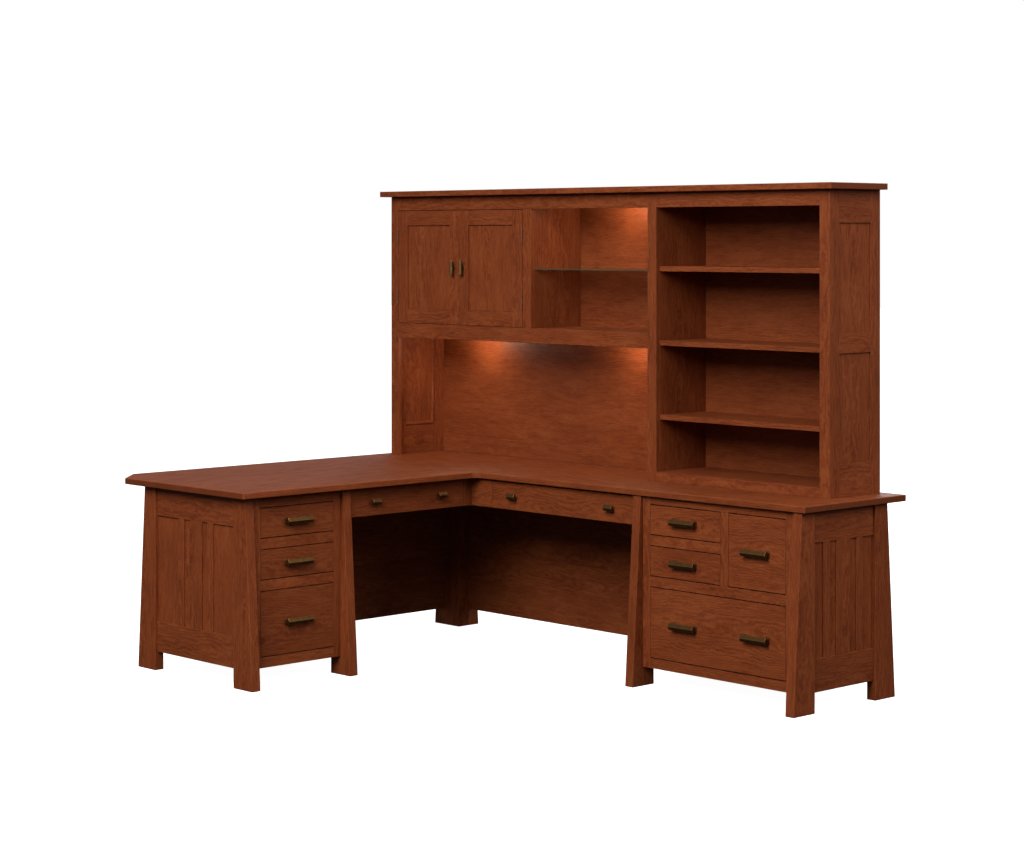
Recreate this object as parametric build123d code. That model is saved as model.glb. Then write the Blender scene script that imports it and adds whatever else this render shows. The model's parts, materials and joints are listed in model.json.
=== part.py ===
from build123d import *
import os

# Corner desk: a credenza wing along +X with a bookcase hutch on it, and a desk wing that comes
# forward (-Y) from its left end. Millimetres, +Z up. The origin is on the floor, at the middle
# of the rectangle that the two tops span.

# ---- tops ----
DESK_HEIGHT = 762.0
TOP_THICKNESS = 25.0
CREDENZA_LENGTH = 2670.0
CREDENZA_DEPTH = 598.0
WING_WIDTH = 913.0
WING_REACH = 1200.0
OUTER_CORNER_CLIP = 119.0
INNER_CORNER_CLIP = 24.0

# ---- legs: thick across, flared outwards in the depth of their wing ----
LEG_THICKNESS = 41.0
LEG_TOP_DEPTH = 74.0
LEG_FOOT_DEPTH = 120.0

# ---- pedestals ----
CREDENZA_PEDESTAL_WIDTH = 845.0
CREDENZA_END_OVERHANG = 20.0
CREDENZA_FRONT_OVERHANG = 9.0
CREDENZA_BACK_OVERHANG = 88.0
WING_PEDESTAL_LENGTH = 522.0
WING_END_OVERHANG = 36.0
WING_FRONT_OVERHANG = 38.0
WING_BACK_OVERHANG = 206.0
FRAME_SETBACK = 13.0
FRAME_THICKNESS = 20.0
RAIL_UNDERSIDE = 74.0
END_PANEL_INSET = 10.0
SIDE_THICKNESS = 20.0
BACK_THICKNESS = 12.0
BOTTOM_THICKNESS = 15.0

# ---- end panels ----
END_BOTTOM_RAIL = 123.0
END_TOP_RAIL = 117.0
SLAT_WIDTH = 37.0
SLAT_GAP = 38.0
CENTRE_SLAT_WIDTH = 80.0
SLAT_RELIEF = 6.0

# ---- credenza drawer openings, from the bottom up ----
CREDENZA_BOTTOM_RAIL = 39.0
CREDENZA_FILE_HEIGHT = 276.0
CREDENZA_DRAWER_RAIL = 40.0
CREDENZA_DRAWER_HEIGHT = 119.0
CREDENZA_LEFT_STILE = 37.0
CREDENZA_RIGHT_STILE = 46.0
TALL_DRAWER_WIDTH = 279.0
MULLION_WIDTH = 40.0

# ---- wing drawer openings, from the bottom up ----
WING_BOTTOM_RAIL = 41.0
WING_FILE_HEIGHT = 256.0
WING_DRAWER_RAIL = 41.0
WING_DRAWER_HEIGHT = 120.0
WING_END_STILE = 44.0
WING_INNER_STILE = 36.0

# ---- pencil drawers ----
PENCIL_UNDERSIDE = 616.0
PENCIL_TOP_GAP = 6.0
CREDENZA_CORNER_FILLER = 124.0
WING_CORNER_FILLER = 46.0
PENCIL_BOX_DEPTH = 340.0
PENCIL_BOX_RISE = 14.0
PENCIL_BOX_HEADROOM = 12.0
HANGER_THICKNESS = 18.0
HANGER_OFFSET = 40.0

# ---- drawer boxes ----
FRONT_THICKNESS = 20.0
FRONT_SIDE_GAP = 1.5
FRONT_HEIGHT_GAP = 3.0
BOX_SIDE = 14.0
BOX_BACK = 14.0
BOX_BOTTOM = 6.0
BOX_SIDE_CLEARANCE = 4.0
BOX_RISE = 10.0
BOX_HEADROOM = 16.0
FILE_BOX_HEIGHT = 230.0
BOX_DEPTH = 390.0
GROOVE_DEPTH = 8.0
GROOVE_HEIGHT = 20.0
RUNNER_CLEARANCE = 0.4

# ---- pulls ----
PULL_LENGTH = 125.0
PULL_HEIGHT = 26.0
PULL_REACH = 28.0
PULL_POST_WIDTH = 14.0
PULL_BAR_DEPTH = 12.0
KNOB_LENGTH = 46.0
KNOB_HEIGHT = 25.0
KNOB_REACH = 26.0
KNOB_END_DISTANCE = 132.0

# ---- hutch ----
HUTCH_HEIGHT = 1154.0
HUTCH_DEPTH = 303.0
HUTCH_LEFT_INSET = 57.0
HUTCH_RIGHT_INSET = 102.0
HUTCH_BACK_INSET = 28.0
CROWN_THICKNESS = 24.0
CROWN_OVERHANG = 37.0
HUTCH_FRAME = 20.0
HUTCH_END_STILE = 48.0
CABINET_STILE = 50.0
BOOKCASE_STILE = 48.0
HUTCH_TOP_RAIL = 61.0
CABINET_RAIL = 63.0
CABINET_RAIL_TOP = 591.0
BOOKCASE_RAIL = 38.0
DOOR_BAY_WIDTH = 807.0
BOOKCASE_WIDTH = 835.0
PARTITION = 20.0
HUTCH_BACK = 8.0
SHELF = 20.0
SHELF_SETBACK = 20.0
SHELF_END_GAP = 1.0
BOOKCASE_SHELF_RISES = (265.0, 561.0, 858.0)
GLASS_THICKNESS = 6.0
GLASS_SETBACK = 2.0
GLASS_RISE = 246.0
CABINET_SHELF_RISE = 235.0
PIN_RADIUS = 3.0
PIN_LENGTH = 16.0

# ---- hutch sides: stiles and rails round two recessed panels ----
SIDE_STILE = 57.0
SIDE_TOP_RAIL = 126.0
SIDE_MIDDLE_RAIL = 75.0
SIDE_MIDDLE_RAIL_TOP = 613.0
SIDE_BOTTOM_RAIL = 124.0
SIDE_PANEL = 8.0

# ---- doors ----
DOOR_THICKNESS = 20.0
DOOR_STILE = 60.0
DOOR_RAIL = 65.0
DOOR_PANEL = 8.0
DOOR_GAP = 2.0
HINGE_GAP = 3.0
HINGE_LENGTH = 60.0
HINGE_LEAF = 1.2
HINGE_LEAF_WIDTH = 22.0
HINGE_BARREL_RADIUS = 3.2
HINGE_PIN_RADIUS = 1.8
HINGE_PIN_CLEARANCE = 0.05
HINGE_FORWARD = 3.6
HINGE_END_DISTANCE = 80.0
KNUCKLE_GAP = 0.3
DOOR_PULL_WIDTH = 20.0
DOOR_PULL_HEIGHT = 62.0
DOOR_PULL_REACH = 28.0
DOOR_PULL_INSET = 29.0

# ---- lights and bolts ----
PUCK_RADIUS = 34.0
PUCK_HEIGHT = 14.0
PUCK_RIM = 4.0
PUCK_SPREAD = 470.0
LENS_THICKNESS = 3.0
BOLT_HEAD_RADIUS = 7.0
BOLT_HEAD_HEIGHT = 3.0
BOLT_SPACING = 20.0
BOLT_HEIGHTS = (139.0, 314.0)
MODESTY_THICKNESS = 16.0
CREDENZA_MODESTY_SETBACK = 494.0
WING_MODESTY_SETBACK = 230.0

# ---- reference planes ----
RIGHT = CREDENZA_LENGTH / 2
LEFT = -RIGHT
BACK = (CREDENZA_DEPTH + WING_REACH) / 2
FRONT = -BACK
CREDENZA_FRONT = BACK - CREDENZA_DEPTH
WING_INNER = LEFT + WING_WIDTH
UNDER_TOP = DESK_HEIGHT - TOP_THICKNESS

# credenza legs, measured along Y
C_LEG_FRONT = CREDENZA_FRONT + CREDENZA_FRONT_OVERHANG
C_FRONT_LEG_INNER = C_LEG_FRONT + LEG_TOP_DEPTH
C_LEG_BACK = BACK - CREDENZA_BACK_OVERHANG
C_BACK_LEG_INNER = C_LEG_BACK - LEG_TOP_DEPTH
C_FACE = C_LEG_FRONT + FRAME_SETBACK

# credenza pedestal, measured along X
C_PED_RIGHT = RIGHT - CREDENZA_END_OVERHANG
C_PED_LEFT = C_PED_RIGHT - CREDENZA_PEDESTAL_WIDTH
C_INSIDE_LEFT = C_PED_LEFT + LEG_THICKNESS
C_INSIDE_RIGHT = C_PED_RIGHT - LEG_THICKNESS
C_OPEN_LEFT = C_INSIDE_LEFT + CREDENZA_LEFT_STILE
C_OPEN_RIGHT = C_INSIDE_RIGHT - CREDENZA_RIGHT_STILE
C_TALL_LEFT = C_OPEN_RIGHT - TALL_DRAWER_WIDTH
C_SMALL_RIGHT = C_TALL_LEFT - MULLION_WIDTH

# credenza drawer levels
C_FILE_LOW = RAIL_UNDERSIDE + CREDENZA_BOTTOM_RAIL
C_FILE_HIGH = C_FILE_LOW + CREDENZA_FILE_HEIGHT
C_MIDDLE_LOW = C_FILE_HIGH + CREDENZA_DRAWER_RAIL
C_MIDDLE_HIGH = C_MIDDLE_LOW + CREDENZA_DRAWER_HEIGHT
C_UPPER_LOW = C_MIDDLE_HIGH + CREDENZA_DRAWER_RAIL
C_UPPER_HIGH = C_UPPER_LOW + CREDENZA_DRAWER_HEIGHT

# wing legs, measured along X
W_LEG_FRONT = WING_INNER - WING_FRONT_OVERHANG
W_FRONT_LEG_INNER = W_LEG_FRONT - LEG_TOP_DEPTH
W_LEG_BACK = LEFT + WING_BACK_OVERHANG
W_BACK_LEG_INNER = W_LEG_BACK + LEG_TOP_DEPTH
W_FACE = W_LEG_FRONT - FRAME_SETBACK

# wing pedestal, measured along Y
W_PED_END = FRONT + WING_END_OVERHANG
W_PED_INNER = W_PED_END + WING_PEDESTAL_LENGTH
W_INSIDE_END = W_PED_END + LEG_THICKNESS
W_INSIDE_INNER = W_PED_INNER - LEG_THICKNESS
W_OPEN_END = W_INSIDE_END + WING_END_STILE
W_OPEN_INNER = W_INSIDE_INNER - WING_INNER_STILE

# wing drawer levels
W_FILE_LOW = RAIL_UNDERSIDE + WING_BOTTOM_RAIL
W_FILE_HIGH = W_FILE_LOW + WING_FILE_HEIGHT
W_MIDDLE_LOW = W_FILE_HIGH + WING_DRAWER_RAIL
W_MIDDLE_HIGH = W_MIDDLE_LOW + WING_DRAWER_HEIGHT
W_UPPER_LOW = W_MIDDLE_HIGH + WING_DRAWER_RAIL
W_UPPER_HIGH = W_UPPER_LOW + WING_DRAWER_HEIGHT

# corner post: the credenza's last back leg and the wing's last back leg, side by side
POST_JOINT = W_BACK_LEG_INNER
POST_RIGHT = POST_JOINT + LEG_THICKNESS
POST_FRONT = C_BACK_LEG_INNER
C_MODESTY_FACE = CREDENZA_FRONT + CREDENZA_MODESTY_SETBACK
W_MODESTY_FACE = LEFT + WING_MODESTY_SETBACK

# hutch
H_LEFT = LEFT + HUTCH_LEFT_INSET
H_RIGHT = RIGHT - HUTCH_RIGHT_INSET
H_BACK = BACK - HUTCH_BACK_INSET
H_FRONT = H_BACK - HUTCH_DEPTH
H_TOP = DESK_HEIGHT + HUTCH_HEIGHT
H_INSIDE_FRONT = H_FRONT + HUTCH_FRAME
H_INSIDE_BACK = H_BACK - HUTCH_BACK
H_OPEN_TOP = H_TOP - HUTCH_TOP_RAIL
H_RAIL_TOP = DESK_HEIGHT + CABINET_RAIL_TOP
H_RAIL_LOW = H_RAIL_TOP - CABINET_RAIL
DOORS_LEFT = H_LEFT + HUTCH_END_STILE
DOORS_RIGHT = DOORS_LEFT + DOOR_BAY_WIDTH
BAY_LEFT = DOORS_RIGHT + CABINET_STILE
BOOKS_RIGHT = H_RIGHT - HUTCH_END_STILE
BOOKS_LEFT = BOOKS_RIGHT - BOOKCASE_WIDTH
BAY_RIGHT = BOOKS_LEFT - BOOKCASE_STILE
BOOKS_FLOOR = DESK_HEIGHT + BOOKCASE_RAIL
# each partition stands behind its stile, flush with the opening on the stile's right
CABINET_WALL_RIGHT = BAY_LEFT
CABINET_WALL_LEFT = CABINET_WALL_RIGHT - PARTITION
BOOKS_WALL_RIGHT = BOOKS_LEFT
BOOKS_WALL_LEFT = BOOKS_WALL_RIGHT - PARTITION
H_WALL_LEFT = H_LEFT + SIDE_THICKNESS
H_WALL_RIGHT = H_RIGHT - SIDE_THICKNESS

os.makedirs("parts", exist_ok=True)


def block(x0, x1, y0, y1, z0, z1):
    """A rectangular board between six planes."""
    centre = Pos((x0 + x1) / 2, (y0 + y1) / 2, (z0 + z1) / 2)
    return centre * Box(x1 - x0, y1 - y0, z1 - z0)


def rod(x, y, z, axis, radius, length):
    """A round bar that starts at (x, y, z) and runs along axis."""
    plane = Plane(origin=(x, y, z), z_dir=axis)
    return extrude(plane * Circle(radius), length)


def save(name, *pieces):
    """Write one node: a single solid, or several separate solids side by side."""
    shape = pieces[0] if len(pieces) == 1 else Compound(children=list(pieces))
    export_step(shape, f"parts/{name}.step")


# ---- tops ----

def credenza_top():
    """The long top, and the small block that softens the inner corner."""
    board = block(LEFT, RIGHT, CREDENZA_FRONT, BACK, UNDER_TOP, DESK_HEIGHT)
    facet = Polyline(
        (WING_INNER, CREDENZA_FRONT),
        (WING_INNER, CREDENZA_FRONT - INNER_CORNER_CLIP),
        (WING_INNER + INNER_CORNER_CLIP, CREDENZA_FRONT),
        close=True,
    )
    corner_block = extrude(Pos(0, 0, UNDER_TOP) * make_face(facet), TOP_THICKNESS)
    return [board, corner_block]


def wing_top():
    """The desk-wing top, with its outer front corner clipped."""
    outline = Polyline(
        (LEFT, CREDENZA_FRONT),
        (LEFT, FRONT + OUTER_CORNER_CLIP),
        (LEFT + OUTER_CORNER_CLIP, FRONT),
        (WING_INNER, FRONT),
        (WING_INNER, CREDENZA_FRONT),
        close=True,
    )
    return extrude(Pos(0, 0, UNDER_TOP) * make_face(outline), TOP_THICKNESS)


# ---- legs ----

def leg_along_y(x0, inner, outward):
    """A leg whose inner edge is upright at Y = inner; outward is -1 (front) or +1 (back)."""
    profile = Polyline(
        (inner, 0),
        (inner + outward * LEG_FOOT_DEPTH, 0),
        (inner + outward * LEG_TOP_DEPTH, UNDER_TOP),
        (inner, UNDER_TOP),
        close=True,
    )
    plane = Plane(origin=(x0, 0, 0), x_dir=(0, 1, 0), z_dir=(1, 0, 0))
    return extrude(plane * make_face(profile), LEG_THICKNESS)


def leg_along_x(y0, inner, outward):
    """A leg whose inner edge is upright at X = inner; outward is -1 (left) or +1 (right)."""
    profile = Polyline(
        (inner, 0),
        (inner + outward * LEG_FOOT_DEPTH, 0),
        (inner + outward * LEG_TOP_DEPTH, UNDER_TOP),
        (inner, UNDER_TOP),
        close=True,
    )
    plane = Plane(origin=(0, y0, 0), x_dir=(1, 0, 0), z_dir=(0, -1, 0))
    return extrude(plane * make_face(profile), -LEG_THICKNESS)


def pedestal_legs():
    """Four legs under each pedestal."""
    legs = []
    for x0 in (C_PED_LEFT, C_INSIDE_RIGHT):
        legs.append(leg_along_y(x0, C_FRONT_LEG_INNER, -1))
        legs.append(leg_along_y(x0, C_BACK_LEG_INNER, 1))
    for y0 in (W_PED_END, W_INSIDE_INNER):
        legs.append(leg_along_x(y0, W_FRONT_LEG_INNER, 1))
        legs.append(leg_along_x(y0, W_BACK_LEG_INNER, -1))
    return legs


def corner_legs():
    """The two legs that meet as the corner post."""
    credenza_leg = leg_along_y(POST_JOINT, C_BACK_LEG_INNER, 1)
    wing_leg = leg_along_x(POST_FRONT, W_BACK_LEG_INNER, -1)
    return [credenza_leg, wing_leg]


# ---- pedestal panels ----

def slatted_panel(length):
    """An end panel lying along +X from 0 to length, its face at Y = 0 and its body behind it."""
    low = RAIL_UNDERSIDE
    slat_low = low + END_BOTTOM_RAIL
    slat_high = UNDER_TOP - END_TOP_RAIL
    pieces = [
        block(0, length, 0, SLAT_RELIEF, low, slat_low),
        block(0, length, 0, SLAT_RELIEF, slat_high, UNDER_TOP),
        block(0, length, SLAT_RELIEF, SIDE_THICKNESS, low, UNDER_TOP),
    ]
    middle = length / 2
    side_offset = CENTRE_SLAT_WIDTH / 2 + SLAT_GAP + SLAT_WIDTH / 2
    slats = (
        (middle, CENTRE_SLAT_WIDTH),
        (middle - side_offset, SLAT_WIDTH),
        (middle + side_offset, SLAT_WIDTH),
    )
    for centre, width in slats:
        pieces.append(
            block(centre - width / 2, centre + width / 2, 0, SLAT_RELIEF, slat_low, slat_high)
        )
    return pieces


def credenza_end_panel():
    """The slatted panel on the credenza's right end, facing +X."""
    place = Pos(C_PED_RIGHT - END_PANEL_INSET, C_FRONT_LEG_INNER, 0) * Rot(0, 0, 90)
    return [place * piece for piece in slatted_panel(C_BACK_LEG_INNER - C_FRONT_LEG_INNER)]


def wing_end_panel():
    """The slatted panel on the wing's front end, facing -Y."""
    place = Pos(W_BACK_LEG_INNER, W_PED_END + END_PANEL_INSET, 0)
    return [place * piece for piece in slatted_panel(W_FRONT_LEG_INNER - W_BACK_LEG_INNER)]


def kneehole_panels():
    """The pedestals' plain sides that face the kneehole."""
    credenza_face = C_PED_LEFT + END_PANEL_INSET
    wing_face = W_PED_INNER - END_PANEL_INSET
    credenza_side = block(
        credenza_face, credenza_face + SIDE_THICKNESS,
        C_FRONT_LEG_INNER, C_BACK_LEG_INNER, RAIL_UNDERSIDE, UNDER_TOP,
    )
    wing_side = block(
        W_BACK_LEG_INNER, W_FRONT_LEG_INNER,
        wing_face - SIDE_THICKNESS, wing_face, RAIL_UNDERSIDE, UNDER_TOP,
    )
    return [credenza_side, wing_side]


def credenza_face_frame():
    """Stiles, rails and mullion round the credenza's four drawers."""
    front = C_FACE
    rear = C_FACE + FRAME_THICKNESS
    uprights = (
        (C_INSIDE_LEFT, C_OPEN_LEFT, RAIL_UNDERSIDE, UNDER_TOP),
        (C_OPEN_RIGHT, C_INSIDE_RIGHT, RAIL_UNDERSIDE, UNDER_TOP),
        (C_SMALL_RIGHT, C_TALL_LEFT, C_MIDDLE_LOW, C_UPPER_HIGH),
    )
    rails = (
        (C_OPEN_LEFT, C_OPEN_RIGHT, RAIL_UNDERSIDE, C_FILE_LOW),
        (C_OPEN_LEFT, C_OPEN_RIGHT, C_FILE_HIGH, C_MIDDLE_LOW),
        (C_OPEN_LEFT, C_SMALL_RIGHT, C_MIDDLE_HIGH, C_UPPER_LOW),
        (C_OPEN_LEFT, C_OPEN_RIGHT, C_UPPER_HIGH, UNDER_TOP),
    )
    return [block(x0, x1, front, rear, z0, z1) for x0, x1, z0, z1 in uprights + rails]


def wing_face_frame():
    """Stiles and rails round the wing's three drawers."""
    front = W_FACE
    rear = W_FACE - FRAME_THICKNESS
    members = (
        (W_INSIDE_END, W_OPEN_END, RAIL_UNDERSIDE, UNDER_TOP),
        (W_OPEN_INNER, W_INSIDE_INNER, RAIL_UNDERSIDE, UNDER_TOP),
        (W_OPEN_END, W_OPEN_INNER, RAIL_UNDERSIDE, W_FILE_LOW),
        (W_OPEN_END, W_OPEN_INNER, W_FILE_HIGH, W_MIDDLE_LOW),
        (W_OPEN_END, W_OPEN_INNER, W_MIDDLE_HIGH, W_UPPER_LOW),
        (W_OPEN_END, W_OPEN_INNER, W_UPPER_HIGH, UNDER_TOP),
    )
    return [block(rear, front, y0, y1, z0, z1) for y0, y1, z0, z1 in members]


def pedestal_boards():
    """Backs and bottoms of both pedestals, and the credenza's divider and web board."""
    c_rear = C_FACE + FRAME_THICKNESS
    c_back_front = C_LEG_BACK - BACK_THICKNESS
    c_back = block(
        C_INSIDE_LEFT, C_INSIDE_RIGHT, c_back_front, C_LEG_BACK, RAIL_UNDERSIDE, UNDER_TOP
    )
    c_bottom_low = C_FILE_LOW - BOTTOM_THICKNESS
    c_bottom = block(
        C_INSIDE_LEFT, C_INSIDE_RIGHT, c_rear, c_back_front, c_bottom_low, C_FILE_LOW
    )
    web_middle = (C_FILE_HIGH + C_MIDDLE_LOW) / 2
    web_low = web_middle - BOTTOM_THICKNESS / 2
    web_high = web_middle + BOTTOM_THICKNESS / 2
    web = block(C_INSIDE_LEFT, C_INSIDE_RIGHT, c_rear, c_back_front, web_low, web_high)
    divider_middle = (C_SMALL_RIGHT + C_TALL_LEFT) / 2
    divider = block(
        divider_middle - BOTTOM_THICKNESS / 2, divider_middle + BOTTOM_THICKNESS / 2,
        c_rear, c_back_front, web_high, UNDER_TOP,
    )
    w_rear = W_FACE - FRAME_THICKNESS
    w_back_front = W_LEG_BACK + BACK_THICKNESS
    w_back = block(
        W_LEG_BACK, w_back_front, W_INSIDE_END, W_INSIDE_INNER, RAIL_UNDERSIDE, UNDER_TOP
    )
    w_bottom_low = W_FILE_LOW - BOTTOM_THICKNESS
    w_bottom = block(
        w_back_front, w_rear, W_INSIDE_END, W_INSIDE_INNER, w_bottom_low, W_FILE_LOW
    )
    return [c_back, c_bottom, web, divider, w_back, w_bottom]


def modesty_panels():
    """The boards that close the back of the kneehole."""
    credenza_board = block(
        POST_RIGHT, C_PED_LEFT,
        C_MODESTY_FACE, C_MODESTY_FACE + MODESTY_THICKNESS, RAIL_UNDERSIDE, UNDER_TOP,
    )
    wing_board = block(
        W_MODESTY_FACE - MODESTY_THICKNESS, W_MODESTY_FACE,
        W_PED_INNER, POST_FRONT, RAIL_UNDERSIDE, UNDER_TOP,
    )
    return [credenza_board, wing_board]


def corner_bolts():
    """Bolt heads that tie the modesty panels to cleats behind the corner post."""
    heads = []
    for z in BOLT_HEIGHTS:
        heads.append(
            rod(W_MODESTY_FACE, POST_FRONT - BOLT_SPACING, z, (1, 0, 0),
                BOLT_HEAD_RADIUS, BOLT_HEAD_HEIGHT)
        )
        heads.append(
            rod(POST_RIGHT + BOLT_SPACING, C_MODESTY_FACE, z, (0, -1, 0),
                BOLT_HEAD_RADIUS, BOLT_HEAD_HEIGHT)
        )
    return heads


# ---- drawers ----

class Opening:
    """A drawer opening: its two sides across the face, its bottom and its top."""

    def __init__(self, side0, side1, low, high, gap_above=FRONT_HEIGHT_GAP):
        self.side0 = side0
        self.side1 = side1
        self.low = low
        self.high = high
        self.gap_above = gap_above

    def width(self):
        return self.side1 - self.side0

    def middle(self):
        return (self.side0 + self.side1) / 2

    def centre_height(self):
        return (self.low + self.high) / 2


def drawer_front(opening):
    """A front in its opening, seen from -Y: face at Y = 0, X across, thickness towards +Y."""
    return block(
        opening.side0 + FRONT_SIDE_GAP, opening.side1 - FRONT_SIDE_GAP, 0, FRONT_THICKNESS,
        opening.low + FRONT_HEIGHT_GAP, opening.high - opening.gap_above,
    )


def drawer_box(side0, side1, low, high, depth, runner_height):
    """Sides, back, sub-front and bottom behind the front, grooved outside for the runners."""
    start = FRONT_THICKNESS
    end = FRONT_THICKNESS + depth
    groove_low = runner_height - GROOVE_HEIGHT / 2
    groove_high = runner_height + GROOVE_HEIGHT / 2
    groove_start = start + BOX_SIDE
    pieces = []
    for outer, inward in ((side0, 1), (side1, -1)):
        inner = outer + inward * BOX_SIDE
        groove_floor = outer + inward * GROOVE_DEPTH
        board = block(min(outer, inner), max(outer, inner), start, end, low, high)
        groove = block(
            min(outer, groove_floor), max(outer, groove_floor),
            groove_start, end, groove_low, groove_high,
        )
        pieces.append(board - groove)
    left = side0 + BOX_SIDE
    right = side1 - BOX_SIDE
    pieces.append(block(left, right, start, start + BOX_BACK, low, high))
    pieces.append(block(left, right, end - BOX_BACK, end, low, high))
    pieces.append(
        block(left, right, start + BOX_BACK, end - BOX_BACK, low, low + BOX_BOTTOM)
    )
    return pieces


def runner(x0, x1, y0, y1, runner_height):
    """A hardwood runner that fills the groove's height but for its clearance."""
    half = GROOVE_HEIGHT / 2 - RUNNER_CLEARANCE
    return block(x0, x1, y0, y1, runner_height - half, runner_height + half)


def bar_pull(middle, height):
    """A bar on two posts: face of the drawer at Y = 0, the pull stands out to -Y."""
    bar_back = -(PULL_REACH - PULL_BAR_DEPTH)
    half = PULL_LENGTH / 2
    low = height - PULL_HEIGHT / 2
    high = height + PULL_HEIGHT / 2
    inside = half - PULL_POST_WIDTH
    return [
        block(middle - half, middle + half, -PULL_REACH, bar_back, low, high),
        block(middle - half, middle - inside, bar_back, 0, low, high),
        block(middle + inside, middle + half, bar_back, 0, low, high),
    ]


def knob(middle, height):
    """A short bar on one post."""
    bar_back = -(KNOB_REACH - PULL_BAR_DEPTH)
    half_post = PULL_POST_WIDTH / 2
    return [
        block(
            middle - KNOB_LENGTH / 2, middle + KNOB_LENGTH / 2, -KNOB_REACH, bar_back,
            height - KNOB_HEIGHT / 2, height + KNOB_HEIGHT / 2,
        ),
        block(
            middle - half_post, middle + half_post, bar_back, 0,
            height - half_post, height + half_post,
        ),
    ]


# drawers are drawn facing -Y with their face at Y = 0, then set in place
CREDENZA_PLACE = Pos(0, C_FACE, 0)
WING_PLACE = Pos(W_FACE, 0, 0) * Rot(0, 0, 90)

c_upper = Opening(C_OPEN_LEFT, C_SMALL_RIGHT, C_UPPER_LOW, C_UPPER_HIGH)
c_middle = Opening(C_OPEN_LEFT, C_SMALL_RIGHT, C_MIDDLE_LOW, C_MIDDLE_HIGH)
c_tall = Opening(C_TALL_LEFT, C_OPEN_RIGHT, C_MIDDLE_LOW, C_UPPER_HIGH)
c_file = Opening(C_OPEN_LEFT, C_OPEN_RIGHT, C_FILE_LOW, C_FILE_HIGH)
w_upper = Opening(W_OPEN_END, W_OPEN_INNER, W_UPPER_LOW, W_UPPER_HIGH)
w_middle = Opening(W_OPEN_END, W_OPEN_INNER, W_MIDDLE_LOW, W_MIDDLE_HIGH)
w_file = Opening(W_OPEN_END, W_OPEN_INNER, W_FILE_LOW, W_FILE_HIGH)
c_pencil = Opening(
    W_FACE + CREDENZA_CORNER_FILLER, C_PED_LEFT, PENCIL_UNDERSIDE, UNDER_TOP, PENCIL_TOP_GAP
)
w_pencil = Opening(
    W_PED_INNER, C_FACE - WING_CORNER_FILLER, PENCIL_UNDERSIDE, UNDER_TOP, PENCIL_TOP_GAP
)


def small_box_high(opening):
    """The top of an ordinary drawer's box."""
    return opening.high - BOX_HEADROOM


def file_box_high(opening):
    """The top of a file drawer's box, low enough to lift a folder over."""
    return opening.low + BOX_RISE + FILE_BOX_HEIGHT


def pedestal_drawer(name, opening, place, box_high, pull_middles):
    """One pedestal drawer: front, grooved box and its pulls."""
    low = opening.low + BOX_RISE
    runner_height = (low + box_high) / 2
    save(f"{name}_front", place * drawer_front(opening))
    box = drawer_box(
        opening.side0 + BOX_SIDE_CLEARANCE, opening.side1 - BOX_SIDE_CLEARANCE,
        low, box_high, BOX_DEPTH, runner_height,
    )
    save(f"{name}_box", *[place * piece for piece in box])
    height = opening.centre_height()
    pulls = [place * piece for middle in pull_middles for piece in bar_pull(middle, height)]
    save(f"{name}_pull", *pulls)
    return runner_height


def pencil_drawer(name, opening, place):
    """One shallow drawer: full front, narrower box, two knobs."""
    low = PENCIL_UNDERSIDE + PENCIL_BOX_RISE
    high = UNDER_TOP - PENCIL_BOX_HEADROOM
    runner_height = (low + high) / 2
    save(f"{name}_front", place * drawer_front(opening))
    box = drawer_box(
        opening.side0 + HANGER_OFFSET, opening.side1 - HANGER_OFFSET,
        low, high, PENCIL_BOX_DEPTH, runner_height,
    )
    save(f"{name}_box", *[place * piece for piece in box])
    height = (opening.low + FRONT_HEIGHT_GAP + opening.high - opening.gap_above) / 2
    middles = (opening.side0 + KNOB_END_DISTANCE, opening.side1 - KNOB_END_DISTANCE)
    knobs = [place * piece for middle in middles for piece in knob(middle, height)]
    save(f"{name}_knobs", *knobs)
    return runner_height


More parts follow.
